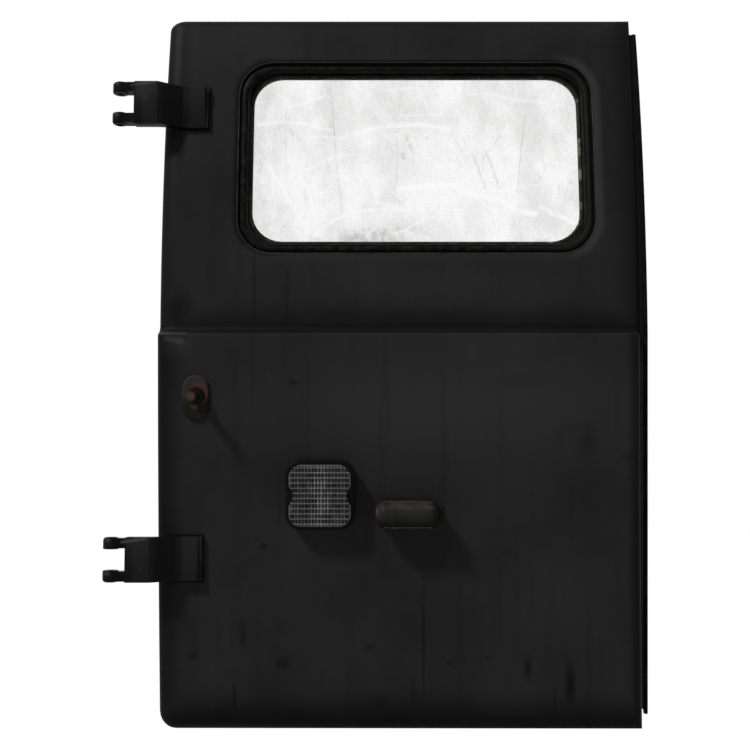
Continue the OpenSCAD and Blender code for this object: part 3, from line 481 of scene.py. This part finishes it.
def casting():
    """Painted hinge castings, with painted shade where the arm bends away behind the eye and round the ears, and
    painted highlights on the ears and the arm's top edge.
    """
    s = Shader("hinge_casting")
    leaf = s.leaf_place()
    x = s.split(leaf)[0]
    worn = s.noise(leaf, 70, 5, 0.62)
    shade = s.mix(s.between(s.noise(leaf, 14, 4, 0.55), 0.3, 0.7), grey(0.0054), (0.0078, 0.0078, 0.0077))
    shade = s.mix(s.between(worn, 0.58, 0.76, 0.0, 0.4), shade, (0.0230, 0.0228, 0.0220))
    # Painted shade where the arm bends away behind the eye, and over the ears
    bend_shade = s.times(s.between(x, 0.060, 0.070), s.between(x, 0.106, 0.098))
    shade = s.mix(s.times(bend_shade, 0.72), shade, grey(0.0012))
    shade = s.mix(s.between(x, 0.038, 0.030, 0.0, 0.50), shade, grey(0.0012))
    # Painted shade round each ear's knob, and painted highlights on the knobs and along the arm's top edge
    place = s.scaled(s.place(), (1, 0, 1))
    round_ears, lit_ears, lit_edges = [], [], []
    for height in HINGE_HEIGHTS:
        for ear in (height - EAR_MIDDLE, height + EAR_MIDDLE):
            round_ears.append(s.blot(place, 0.0, ear, 0.015, 0.0105))
            lit_ears.append(s.blot(place, -0.0035, ear + 0.0045, 0.0075, 0.0042))
        lit_edges.append(s.stroke(place, (0.018, height + 0.0262), (0.052, height + 0.0308), 0.0034, 0.9))
    beside = s.times(s.minus(1.0, s.most(*round_ears)), s.between(x, 0.026, 0.014))
    shade = s.mix(s.times(beside, 0.85), shade, SHADE_BLACK)
    broken = s.between(worn, 0.36, 0.60, 0.4, 1.0)
    lit = s.most(s.times(s.most(*lit_ears), 0.60), s.times(s.most(*lit_edges), 0.62))
    shade = s.mix(s.times(lit, broken), shade, grey(0.050))
    return s.finish(shade, s.uneven(leaf, 30, 0.36, 0.5), s.bump(worn, 0.00012), specular=0.035)


def rubber():
    """Black rubber of the pads and of the seal along the meeting edge."""
    s = Shader("rubber")
    p = s.place()
    shade = s.mix(s.between(s.noise(p, 35, 4), 0.35, 0.7), grey(0.0020), (0.0050, 0.0050, 0.0048))
    return s.finish(shade, s.uneven(p, 25, 0.5, 0.66), s.bump(s.noise(p, 500, 2), 0.00005), specular=0.5, ior=1.06)


def seal_rubber():
    """Black rubber, dusty grey on the ledge inside the bead."""
    s = Shader("seal_rubber")
    leaf = s.leaf_place()
    x, _, z = s.split(leaf)
    inset = s.window_inset(x, z)
    dusty = s.noise(leaf, 42, 4, 0.62)
    shade = s.mix(s.between(dusty, 0.35, 0.7), grey(0.0022), (0.0052, 0.0052, 0.0050))
    ledge = s.times(s.between(inset, 0.0126, 0.0138), s.between(inset, 0.0182, 0.0165))
    shade = s.mix(s.times(ledge, s.between(dusty, 0.3, 0.6, 0.35, 0.9)), shade, (0.0150, 0.0150, 0.0148))
    return s.finish(shade, s.uneven(leaf, 25, 0.5, 0.66), s.bump(dusty, 0.0002), specular=0.5, ior=1.06)


def toward_lower_right(s, leaf):
    """0 along the window's top and left, 1 along its lower right."""
    x, _, z = s.split(leaf)
    mid_x, mid_z = on_skin(416, 160)
    right = s.between(x, mid_x + 0.14, mid_x + 0.235)
    return s.times(right, s.between(z, mid_z + 0.13, mid_z - 0.02, 0.45, 1.0))


def filler_bead():
    """Blotchy grey bead, greenish at the lower right, with the lip's painted shadow along its outer side and a painted
    highlight inside it at the top.
    """
    s = Shader("filler_bead")
    leaf = s.leaf_place()
    x, _, z = s.split(leaf)
    blotch = s.noise(leaf, 75, 5, 0.66)
    shade = s.mix(s.between(blotch, 0.40, 0.62), grey(0.0032), (0.0105, 0.0105, 0.0103))
    shade = s.mix(s.between(blotch, 0.56, 0.68, 0.0, 0.5), shade, grey(0.022))
    shade = s.mix(toward_lower_right(s, leaf), shade, (0.0070, 0.0073, 0.0060))
    inset = s.window_inset(x, z)
    top = s.between(z, 0.735, 0.757)
    # The lip's painted shadow on the bead's outer side, deepest along the top
    lip_shadow = s.times(s.between(inset, 0.0108, 0.0080), s.plus(s.times(top, 0.66), 0.30))
    shade = s.mix(lip_shadow, shade, SHADE_BLACK)
    # A painted highlight on the bead's inner side along the top
    inner = s.times(s.between(inset, 0.0088, 0.0110), top)
    shade = s.mix(s.times(inner, 0.3), shade, grey(0.0110))
    return s.finish(shade, s.uneven(leaf, 60, 0.36, 0.5), s.bump(blotch, 0.0005), specular=0.5, ior=1.08)


def worn_lip():
    """Dull green lip, rubbed pale, most of all at the window's lower right."""
    s = Shader("worn_lip")
    leaf = s.leaf_place()
    corner = toward_lower_right(s, leaf)
    blotch = s.noise(leaf, 30, 5, 0.65)
    shade = s.mix(s.between(blotch, 0.40, 0.62), (0.0085, 0.0088, 0.0068), (0.0250, 0.0256, 0.0190))
    x, _, z = s.split(leaf)
    shade = s.mix(s.between(s.window_inset(x, z), 0.0200, 0.0222, 0.0, 0.75), shade, (0.0030, 0.0030, 0.0022))
    bare = s.between(s.noise(leaf, 46, 4, 0.6), 0.53, 0.63)
    shade = s.mix(s.times(bare, s.between(corner, 0.0, 1.0, 0.12, 0.9)), shade, (0.115, 0.108, 0.080))
    return s.finish(shade, 0.5, s.bump(s.noise(leaf, 200), 0.0001), specular=0.06)


def lip_paint():
    """Paint of the folded lip, worn to bare steel on its crest, where it faces outward."""
    s = Shader("surround_paint")
    leaf = s.leaf_place()
    facing = s.vector("DOT_PRODUCT", s.add("ShaderNodeNewGeometry").outputs["Normal"], (0, -1, 0), "Value")
    crest = s.between(facing, 0.25, 0.75)
    wear = s.between(s.noise(leaf, 38, 4, 0.6), 0.32, 0.6, 0.35, 1.0)
    shade = s.mix(s.noise(leaf, 60), grey(0.0040), grey(0.0075))
    shade = s.mix(s.times(crest, wear), shade, (0.036, 0.036, 0.038))
    return s.finish(shade, 0.42, s.bump(s.noise(leaf, 240), 0.00005), specular=0.05)


# Scuffs and dirt on the glass, as lines in the photograph's pixels: points, half width in pixels, strength
PALE_SCUFFS = [
    ([(400, 187), (430, 184), (455, 183), (467, 192), (500, 198), (520, 210), (537, 212)], 2.6, 1.0),
    ([(543, 206), (560, 214), (576, 221)], 2.2, 0.9),
    ([(355, 131), (376, 126), (392, 123), (422, 122), (450, 127)], 2.4, 0.8),
    ([(312, 236), (325, 224), (344, 213), (370, 208), (400, 207)], 1.3, 0.7),
    ([(257, 123), (280, 119), (300, 121), (332, 128)], 1.4, 0.7), ([(265, 161), (285, 193), (307, 231)], 1.6, 0.55),
    ([(296, 192), (335, 190)], 1.1, 0.6), ([(308, 134), (345, 136)], 1.0, 0.6), ([(374, 200), (398, 205)], 1.1, 0.7),
    ([(288, 106), (324, 93)], 1.4, 0.6), ([(470, 92), (492, 91), (515, 97), (560, 102)], 1.1, 0.6),
    ([(306, 168), (330, 156), (352, 152)], 1.1, 0.5), ([(545, 156), (575, 166)], 1.6, 0.6),
    ([(395, 233), (432, 215), (447, 206)], 1.0, 0.6), ([(500, 188), (545, 182), (572, 176)], 1.2, 0.5),
    ([(385, 88), (420, 85)], 1.3, 0.5), ([(400, 113), (445, 112)], 1.2, 0.45), ([(336, 174), (360, 174)], 1.0, 0.5),
]
DARK_MARKS = [
    ([(330, 84), (333, 120), (336, 160), (342, 214)], 0.9, 0.40), ([(527, 112), (522, 150), (519, 190)], 0.8, 0.45),
    ([(285, 110), (285, 180)], 0.8, 0.30), ([(397, 136), (397, 182)], 0.8, 0.32), ([(474, 152), (486, 186)], 1.1, 0.45),
    ([(487, 150), (501, 186)], 1.3, 0.50), ([(502, 133), (484, 156)], 0.7, 0.45), ([(455, 138), (470, 158)], 0.7, 0.35),
    ([(540, 130), (546, 168)], 0.9, 0.30), ([(290, 128), (292, 131)], 2.4, 0.42), ([(297, 135), (299, 137)], 2.2, 0.36),
    ([(406, 133), (407, 137)], 2.2, 0.55), ([(410, 143), (413, 149)], 1.9, 0.55), ([(403, 153), (404, 156)], 1.9, 0.60),
    ([(427, 135), (428, 136)], 1.4, 0.45), ([(539, 171), (542, 176)], 1.2, 0.55), ([(572, 180), (573, 182)], 1.6, 0.5),
    ([(305, 160), (306, 165)], 1.2, 0.40), ([(342, 238), (372, 237)], 3.4, 0.45),
    ([(384, 196), (402, 200)], 5.0, 0.28), ([(309, 236), (320, 240)], 3.0, 0.40), ([(538, 239), (548, 240)], 2.4, 0.5),
    ([(304, 192), (306, 198)], 2.0, 0.35), ([(270, 88), (262, 110)], 3.5, 0.16), ([(296, 92), (300, 108)], 7.0, 0.16),
    ([(257, 150), (257, 200)], 5.0, 0.22),
]
# How far, in metres, noise moves these lines
RIPPLE = 0.004


def glass():
    """Clear glass under a film of dust, with scratches, scuffs and smears."""
    s = Shader("window_glass")
    leaf = s.leaf_place()
    flat = s.scaled(leaf, (1, 0, 1))

    def hatch(angle, across, along, low, high, shift):
        """Fine parallel scratches, which a noise stretched one way makes."""
        fibres = s.noise(s.scaled(s.turned(flat, angle, shift), (across, 1, along)), 1.0, 2, 0.55)
        return s.between(fibres, low, high)

    def lines(marks):
        """All lines of a list, each at its strength."""
        out = 0.0
        for points, wide, strength in marks:
            places = [on_skin(*p) for p in points]
            for a, b in zip(places, places[1:]):
                out = s.most(s.times(s.stroke(near, a, b, 2.0 * wide * PIXEL), strength), out)
        return out

    ripple = s.add("ShaderNodeTexNoise")
    s.put(ripple.inputs["Vector"], flat)
    ripple.inputs["Scale"].default_value = 60
    shift = s.vector("SUBTRACT", ripple.outputs["Color"], grey(0.5))
    near = s.vector("ADD", flat, s.vector("MULTIPLY", shift, (RIPPLE, 0, RIPPLE)))

    # Scratches that darken the film, and those that wipe it clear
    patch = s.between(s.noise(flat, 13, 4, 0.6), 0.38, 0.62)
    other = s.between(s.noise(s.turned(flat, 0.4, 3.0), 17, 4, 0.6), 0.42, 0.62)
    dark = s.most(
        s.times(hatch(0.04, 620, 30, 0.57, 0.74, 1.3), s.plus(s.times(patch, 0.6), 0.3)),
        s.times(hatch(0.55, 560, 34, 0.58, 0.74, 2.1), other),
        s.times(hatch(-0.50, 560, 30, 0.58, 0.74, 4.7), patch),
        s.times(hatch(0.16, 430, 18, 0.60, 0.72, 6.2), 0.8))
    pale = s.most(
        s.times(hatch(1.15, 620, 20, 0.60, 0.74, 5.5), other),
        s.times(hatch(-1.25, 600, 16, 0.60, 0.74, 7.1), patch),
        s.times(hatch(0.85, 640, 24, 0.60, 0.74, 8.4), other),
        hatch(1.55, 420, 9, 0.66, 0.76, 9.9))

    # The film's other parts: clouds that thin out in the middle, specks, the left end, and soil along the foot
    cloud = s.between(s.noise(s.scaled(leaf, (13, 1, 8)), 1.0, 6, 0.66), 0.36, 0.66)
    cloud = s.times(cloud, s.between(s.blot(near, *on_skin(445, 165), 0.17, 0.13), 0.0, 1.0, 1.0, 0.55))
    speckle = s.between(s.noise(flat, 230, 3, 0.6), 0.40, 0.75)
    left = s.between(s.split(leaf)[0], on_skin(310, 160)[0], on_skin(256, 160)[0])
    soil = s.most(
        s.times(s.blot(near, *on_skin(376, 236), 0.075, 0.026), 0.26),
        s.times(s.blot(near, *on_skin(405, 226), 0.050, 0.022), 0.14))
    soil = s.times(soil, s.between(s.noise(flat, 85, 4, 0.60), 0.34, 0.66))
    worn = s.between(s.noise(flat, 75, 3, 0.6), 0.34, 0.6, 0.35, 1.0)
    film = s.plus(
        s.times(cloud, 0.140), s.times(speckle, 0.064), s.times(left, 0.035), s.plus(s.times(dark, 0.150), 0.006),
        soil, s.times(lines(DARK_MARKS), worn, 0.27))
    film = s.most(s.minus(film, s.times(pale, 0.085)), 0.02)

    # The scuffs are a mix of their own, because one factor with all the strokes is too much for the renderer
    scuffs = s.times(lines(PALE_SCUFFS), s.between(worn, 0.35, 1.0, 0.6, 1.0), 0.95)
    clear = s.add("ShaderNodeBsdfTransparent")
    clear.inputs["Color"].default_value = (*grey(0.985), 1)
    dust = s.add("ShaderNodeBsdfDiffuse")
    dust.inputs["Color"].default_value = (0.31, 0.31, 0.305, 1)
    gloss = s.add("ShaderNodeBsdfGlossy")
    gloss.inputs["Roughness"].default_value = 0.06
    fresnel = s.add("ShaderNodeFresnel")
    fresnel.inputs["IOR"].default_value = 1.45
    dusty = s.over(film, clear.outputs[0], dust.outputs[0])
    wiped = s.over(scuffs, dusty, clear.outputs[0])
    top = s.over(s.times(fresnel.outputs[0], 0.5), wiped, gloss.outputs[0])
    s.tree.links.new(top, s.tree.nodes["Material Output"].inputs["Surface"])
    s.tree.nodes.remove(s.bsdf)
    return s.material


def clear_plastic(name, color, roughness, alpha):
    """A lamp's glass or plastic, partly see-through."""
    s = Shader(name)
    p = s.place()
    shade = s.mix(s.between(s.noise(p, 40), 0.3, 0.7), tuple(c * 0.8 for c in color), color)
    s.bsdf.inputs["Alpha"].default_value = alpha
    return s.finish(shade, roughness, specular=0.5)


def metal(name, color, roughness):
    """Bare metal, a little uneven."""
    s = Shader(name)
    p = s.place()
    shade = s.mix(s.between(s.noise(p, 50, 4), 0.3, 0.7), tuple(c * 0.7 for c in color), color)
    rough = s.uneven(p, 30, roughness - 0.05, roughness + 0.1)
    return s.finish(shade, rough, s.bump(s.noise(p, 300), 0.00004), metallic=1.0)


# The reversing lamp's lens: its middle in the leaf's frame, its half width, and the number and pitch of its flutes
LENS_X, LENS_Z, LENS_HALF = 0.309, 0.095, 0.0455
LENS_ROWS, LENS_COLUMNS = 11, 17
LENS_ROW = 0.083 / LENS_ROWS
LENS_COLUMN = 0.083 / LENS_COLUMNS


def ribbed_lens():
    """Moulded lens: the flutes' edges catch the light, and the cells between them stay dark."""
    s = Shader("ribbed_lens")
    leaf = s.leaf_place()
    x, _, z = s.split(leaf)

    def line(value, middle, count, pitch, width):
        """1 on the edges between the flutes."""
        turns = s.math("DIVIDE", s.minus(value, middle - pitch * count / 2), pitch)
        return s.between(s.off(s.math("FRACT", turns), 0.5), 0.5 - width, 0.5)

    rows = line(z, LENS_Z, LENS_ROWS, LENS_ROW, 0.20)
    columns = line(x, LENS_X, LENS_COLUMNS, LENS_COLUMN, 0.32)
    patchy = s.between(s.noise(s.scaled(leaf, (150, 1, 42)), 1.0, 3, 0.6), 0.34, 0.66)
    middle = s.between(s.off(x, LENS_X + 0.002), 0.022, 0.0, 0.35, 1.0)
    shade = s.mix(patchy, grey(0.0020), grey(0.0130))
    glow = s.times(columns, s.times(middle, s.plus(patchy, 0.30)))
    shade = s.mix(s.times(glow, 0.85), shade, grey(0.130))
    shade = s.mix(s.times(rows, s.plus(s.times(middle, 0.42), 0.32)), shade, grey(0.17))
    # Painted highlight round the lens's rim
    sides = [s.between(s.off(v, at), LENS_HALF - 0.0022, LENS_HALF - 0.001) for v, at in ((x, LENS_X), (z, LENS_Z))]
    shade = s.mix(s.times(s.most(*sides), 0.7), shade, grey(0.09))
    s.bsdf.inputs["Alpha"].default_value = 0.93
    return s.finish(shade, 0.2, s.bump(columns, 0.0005), specular=0.06)


# The number plate lamp's middle in the leaf's frame
HOOD_X, HOOD_Z = 0.439, 0.067


def worn_hood():
    """Paint worn to brown on top and on the left, greenish in front, with painted shade below and at the right end, and
    pale wear with painted highlights at the top left.
    """
    s = Shader("worn_hood")
    leaf = s.leaf_place()
    x, _, z = s.split(leaf)
    rub = s.noise(leaf, 55, 5, 0.65)
    front = s.mix(s.between(s.noise(leaf, 30, 4), 0.35, 0.7), (0.0092, 0.0100, 0.0078), (0.0138, 0.0146, 0.0118))
    # Painted shade towards the bottom and at the right end of the front
    front = s.mix(s.between(z, 0.074, 0.048, 0.0, 0.92), front, (0.0016, 0.0017, 0.0014))
    front = s.mix(s.between(x, 0.466, 0.486, 0.0, 0.85), front, (0.0020, 0.0021, 0.0017))
    top = s.times(s.between(z, 0.0762, 0.0800), s.between(x, 0.482, 0.470))
    left = s.times(s.between(x, 0.401, 0.392), s.between(z, 0.058, 0.07))
    brown = s.times(s.most(top, left), s.between(rub, 0.40, 0.60))
    shade = s.mix(s.times(brown, 0.75), front, (0.034, 0.0225, 0.0185))
    # Pale worn paint at the top left, partly a painted highlight
    pale = s.times(s.between(rub, 0.56, 0.66), s.between(x, 0.42, 0.392), s.between(z, 0.06, 0.075), 0.8)
    shade = s.mix(pale, shade, (0.064, 0.034, 0.023))
    return s.finish(shade, s.between(rub, 0.3, 0.7, 0.46, 0.6), s.bump(rub, 0.00015), specular=0.04)


def rusty(name, color, amount):
    """Dark metal with rust on a part of it that grows with the amount."""
    s = Shader(name)
    p = s.place()
    grain = s.noise(p, 160, 5, 0.65)
    shade = s.mix(s.between(grain, 1.0 - amount, 1.05 - amount), color, (0.030, 0.0125, 0.0055))
    return s.finish(shade, 0.48, s.bump(grain, 0.0002), specular=0.05)


# The door stop: the stud's place in the leaf's frame
STOP_X, STOP_Z = 0.123, 0.242


def stop_finish():
    """Stop plate: grey at the head, partly a painted highlight, olive below, with painted shade along its right edge
    and rust in a crescent right of the nut and below it.
    """
    s = Shader("stop_finish")
    leaf = s.leaf_place()
    x, _, z = s.split(leaf)
    grain = s.noise(leaf, 120, 5, 0.6)
    # Lighter grey head, partly a painted highlight, over olive paint below
    shade = s.mix(s.between(z, STOP_Z - 0.016, STOP_Z + 0.006), (0.0058, 0.0062, 0.0040), (0.0185, 0.0170, 0.0156))
    # Painted shade along the right edge
    shade = s.mix(s.between(x, STOP_X + 0.012, STOP_X + 0.020, 0.0, 0.8), shade, (0.0018, 0.0017, 0.0016))
    around = s.blot(leaf, STOP_X + 0.003, STOP_Z + 0.0035, 0.0170, 0.0190, 0.38)
    rightward = s.between(x, STOP_X - 0.009, STOP_X - 0.002)
    upper = s.between(z, STOP_Z - 0.015, STOP_Z - 0.007, 0.15, 1.0)
    spot = s.blot(leaf, STOP_X - 0.004, STOP_Z - 0.017, 0.0085, 0.0046, 0.6)
    rust = s.times(s.most(s.times(around, rightward, upper), spot), s.between(grain, 0.36, 0.54))
    shade = s.mix(s.times(rust, 0.95), shade, (0.058, 0.0215, 0.0068))
    return s.finish(shade, 0.45, s.bump(grain, 0.00015), specular=0.04)


def stud_finish():
    """Stud: pinkish worn rim and a rusty middle on its end, dark shank."""
    s = Shader("stud_finish")
    leaf = s.leaf_place()
    y = s.split(leaf)[1]
    grain = s.noise(leaf, 200, 4, 0.6)
    middle = s.blot(leaf, STOP_X, STOP_Z, 0.0046, 0.0046, 0.35)
    end = s.mix(middle, (0.026, 0.0145, 0.0145), (0.050, 0.0225, 0.0095))
    shank = s.mix(s.between(grain, 0.55, 0.65), (0.0045, 0.0042, 0.0042), (0.024, 0.010, 0.005))
    shade = s.mix(s.between(y, -0.0505, -0.0485), end, shank)
    return s.finish(shade, 0.42, s.bump(grain, 0.0001), specular=0.06)


# Spot welds of the inner panel: their pitch, the dimple's outer and inner radius, and the lines that they lie on
WELD_PITCH, WELD_OUT, WELD_IN = 0.042, 0.0042, 0.0024
WELD_X, WELD_Z = (0.0755, 0.7765), (-0.2440, 0.8280)


def inner_paint():
    """Plain paint with the dimples of spot welds along the panel's edge."""
    s = Shader("inner_paint")
    leaf = s.leaf_place()
    x, _, z = s.split(leaf)
    welds = []
    for value, run, places in ((x, z, WELD_X), (z, x, WELD_Z)):
        along = s.times(s.minus(s.math("FRACT", s.math("DIVIDE", run, WELD_PITCH)), 0.5), WELD_PITCH)
        for place in places:
            welds.append(s.between(s.hypotenuse(s.minus(value, place), along), WELD_OUT, WELD_IN))
    weld = s.most(*welds)
    shade = s.mix(s.between(s.noise(leaf, 14, 4, 0.55), 0.3, 0.7), grey(0.0088), (0.0120, 0.0120, 0.0119))
    shade = s.mix(s.between(s.noise(leaf, 90, 5, 0.65), 0.60, 0.78, 0.0, 0.35), shade, (0.0300, 0.0300, 0.0290))
    low = s.between(s.noise(s.scaled(leaf, (30, 1, 5)), 1.0, 4, 0.6), 0.5, 0.72, 0.0, 0.5)
    shade = s.mix(low, shade, (0.0045, 0.0043, 0.0040))
    shade = s.mix(s.times(weld, 0.45), shade, grey(0.0040))
    bump = s.bump(s.minus(1.0, weld), 0.0006, s.bump(s.noise(leaf, 260), 0.00005))
    return s.finish(shade, s.uneven(leaf, 30, 0.40, 0.54), bump, specular=0.05)


# Corners closer than this, in metres, are one. Faces that meet at less than this angle are smooth
WELD_DISTANCE = 0.00002
SMOOTH_ANGLE = math.radians(24)


def smooth_group():
    """Welds the CAD mesh's corners and shades it smooth where its faces meet at a small angle."""
    group = bpy.data.node_groups.new("smooth_where_flat", "GeometryNodeTree")
    group.interface.new_socket("Geometry", in_out="INPUT", socket_type="NodeSocketGeometry")
    group.interface.new_socket("Geometry", in_out="OUTPUT", socket_type="NodeSocketGeometry")
    new = group.nodes.new
    link = group.links.new
    start, end = new("NodeGroupInput"), new("NodeGroupOutput")
    plain = new("GeometryNodeRemoveAttribute")
    plain.inputs["Name"].default_value = "custom_normal"
    weld = new("GeometryNodeMergeByDistance")
    weld.inputs["Distance"].default_value = WELD_DISTANCE
    faces = new("GeometryNodeSetShadeSmooth")
    edges = new("GeometryNodeSetShadeSmooth")
    edges.domain = "EDGE"
    angle = new("GeometryNodeInputMeshEdgeAngle")
    small = new("FunctionNodeCompare")
    small.data_type = "FLOAT"
    small.operation = "LESS_THAN"
    small.inputs[1].default_value = SMOOTH_ANGLE
    link(start.outputs[0], plain.inputs[0])
    link(plain.outputs[0], weld.inputs[0])
    link(weld.outputs[0], faces.inputs[0])
    link(faces.outputs[0], edges.inputs[0])
    link(angle.outputs[0], small.inputs[0])
    link(small.outputs[0], edges.inputs["Shade Smooth"])
    link(edges.outputs[0], end.inputs[0])
    return group


def dress(material, *names):
    """Gives CAD nodes a material and smooth shading."""
    for name in names:
        node = NODES[name]
        node.data.materials.clear()
        node.data.materials.append(material)
        modifier = node.modifiers.new("smooth", "NODES")
        modifier.node_group = SMOOTH


# Small fasteners: the height of a nut's washer, its chamfer and its thread's pitch
WASHER = 0.0016
CHAMFER = 0.0007
THREAD = 0.0011
# The hinges' nuts: width across flats, height, bolt radius, and where they are in the plate's height from its middle
NUT = (0.013, 0.0085, 0.004)
NUT_SHARE = 0.29
# The lamps' screws: radius and height, and how far they are beside the lamp's middle, their depth and how far below it
LENS_SCREW = (0.0038, 0.0024)
LENS_SCREW_PLACE = (0.0462, -0.0256, 0.0)
PLATE_SCREW = (0.0030, 0.0018)
PLATE_SCREW_PLACE = (0.0410, -0.0250, 0.0179)


def turned_piece(name, rings, at, facing, material, segments):
    """A closed piece built up from rings round an axis. A ring is its height and a function that gives the radius
    and the lift at an angle. The place is in the leaf's frame, and facing is the axis there."""
    axis = Vector(facing).normalized()
    side = axis.orthogonal().normalized()
    across = axis.cross(side)
    points = []
    for height, radius in rings:
        for i in range(segments):
            angle = 2 * math.pi * i / segments
            r, lift = radius(angle)
            points.append(Vector(at) + axis * (height + lift) + (side * math.cos(angle) + across * math.sin(angle)) * r)
    last = len(rings) - 1
    faces = [
        (j * segments + i, j * segments + (i + 1) % segments, (j + 1) * segments + (i + 1) % segments,
         (j + 1) * segments + i)
        for j in range(last) for i in range(segments)
    ]
    faces.append(tuple(range(segments - 1, -1, -1)))
    faces.append(tuple(last * segments + i for i in range(segments)))
    mesh = bpy.data.meshes.new(name)
    mesh.from_pydata([leaf_to_row(*p) for p in points], [], faces)
    mesh.materials.append(material)
    piece = bpy.data.objects.new(name, mesh)
    bpy.context.collection.objects.link(piece)
    mesh.set_sharp_from_angle(angle=math.radians(35))
    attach(piece, "root")


def screw(name, at, facing, radius, height, material, turn):
    """Domed head with a cross recess."""

    def ring(share, drop):
        def radius_at(angle):
            off = abs((angle - turn + math.pi / 4) % (math.pi / 2) - math.pi / 4)
            in_cross = off * share * radius < 0.13 * radius and share < 0.62
            return share * radius, -0.55 * height if in_cross else -drop * height
        return height, radius_at

    steps = [
        (1.0, 1.0), (1.0, 0.45), (0.93, 0.27), (0.80, 0.14), (0.64, 0.06), (0.60, 0.05), (0.45, 0.02), (0.30, 0.0),
        (0.16, 0.0), (0.05, 0.0),
    ]
    turned_piece(name, [ring(*step) for step in steps], at, facing, material, 64)


def nut(name, at, facing, flat, height, bolt, material):
    """Hexagonal nut on its washer, with chamfered corners and the end of a threaded bolt."""

    def hexagon(limit):
        def radius_at(angle):
            off = (angle + math.pi / 6) % (math.pi / 3) - math.pi / 6
            return min(flat / 2 / math.cos(off), limit), 0.0
        return radius_at

    def circle(radius):
        return lambda angle: (radius, 0.0)

    corner = flat / 2 / math.cos(math.pi / 6)
    rings = [
        (0.0, circle(flat * 0.88)), (WASHER * 0.7, circle(flat * 0.88)), (WASHER, circle(flat * 0.85)),
        (WASHER, hexagon(flat * 0.52)), (WASHER + CHAMFER, hexagon(corner)),
        (height - CHAMFER, hexagon(corner)), (height, hexagon(flat * 0.52)), (height, circle(bolt)),
    ]
    for i in range(5):
        rings += [(height + (i + 0.3) * THREAD, circle(bolt)), (height + (i + 0.8) * THREAD, circle(bolt * 0.88))]
    rings.append((height + 0.0062, circle(bolt * 0.8)))
    turned_piece(name, rings, at, facing, material, 60)


def add_fasteners(material):
    """Two nuts behind each hinge, on its plate, and two screws in each lamp."""
    for name in ("upper_hinge_plate", "lower_hinge_plate"):
        mesh = NODES[name].data
        inner = [p for p in mesh.polygons if p.normal.y > 0.9]
        corners = [mesh.vertices[i].co for p in inner for i in p.vertices]
        middle = sum((p.center * p.area for p in inner), Vector()) / sum(p.area for p in inner)
        up = (max(corners, key=lambda c: c.z) - min(corners, key=lambda c: c.z)) * Vector((0, 1, 1))
        for end, share in (("low", -NUT_SHARE), ("high", NUT_SHARE)):
            at = row_to_leaf(middle + up * share)
            way = row_to_leaf(middle + inner[0].normal) - row_to_leaf(middle)
            nut(f"{name}_nut_{end}", at, way, *NUT, material)
    beside, depth, below = LENS_SCREW_PLACE
    for side, way, turn in (("left", -1, 0.3), ("right", 1, 0.9)):
        at = (LENS_X + way * beside, depth, LENS_Z - below)
        screw(f"reversing_lamp_screw_{side}", at, (0, -1, 0), *LENS_SCREW, material, turn)
    beside, depth, below = PLATE_SCREW_PLACE
    for side, way in (("left", -1), ("right", 1)):
        at = (HOOD_X + way * beside, depth, HOOD_Z - below)
        screw(f"plate_lamp_screw_{side}", at, (0, 0, -1), *PLATE_SCREW, material, 0.4)


make_camera()
make_stage()
make_key()
SMOOTH = smooth_group()
bpy.context.scene.view_settings.view_transform = "Standard"

dress(skin_paint(), "outer_skin")
dress(lip_paint(), "window_surround")
dress(inner_paint(), "inner_panel", "window_collar")
dress(flange_paint(), "meeting_flange")
dress(plain_paint("grimy_paint", grey(0.0090), 0.5, 0.025, 0.001), "plate_lamp_base")
dress(seal_rubber(), "window_seal")
dress(rubber(), "meeting_seal", "upper_hinge_gasket", "lower_hinge_gasket", "reversing_lamp_gasket")
dress(filler_bead(), "window_filler_strip")
dress(worn_lip(), "window_inner_lip")
dress(glass(), "window_glass")
dress(casting(), "upper_hinge_arm", "lower_hinge_arm")
dress(metal("dull_steel", (0.10, 0.095, 0.09), 0.45), "upper_hinge_plate", "lower_hinge_plate")
dress(plain_paint("lamp_housing", grey(0.0022), 0.34, 0.04, 0.0), "reversing_lamp_housing")
dress(metal("reflector", grey(0.6), 0.15), "reversing_lamp_reflector")
dress(clear_plastic("bulb_glass", (0.8, 0.8, 0.78), 0.1, 0.4), "reversing_lamp_bulb", "plate_lamp_bulb")
dress(clear_plastic("plate_lens", (0.20, 0.20, 0.19), 0.2, 0.7), "plate_lamp_lens")
dress(ribbed_lens(), "reversing_lamp_lens")
dress(worn_hood(), "plate_lamp_hood")
dress(stop_finish(), "stop_plate")
dress(rusty("rusty_nut", (0.0040, 0.0038, 0.0040), 0.34), "stop_nut")
dress(stud_finish(), "stop_stud")
add_fasteners(rusty("dark_screw", (0.0042, 0.0041, 0.0040), 0.30))
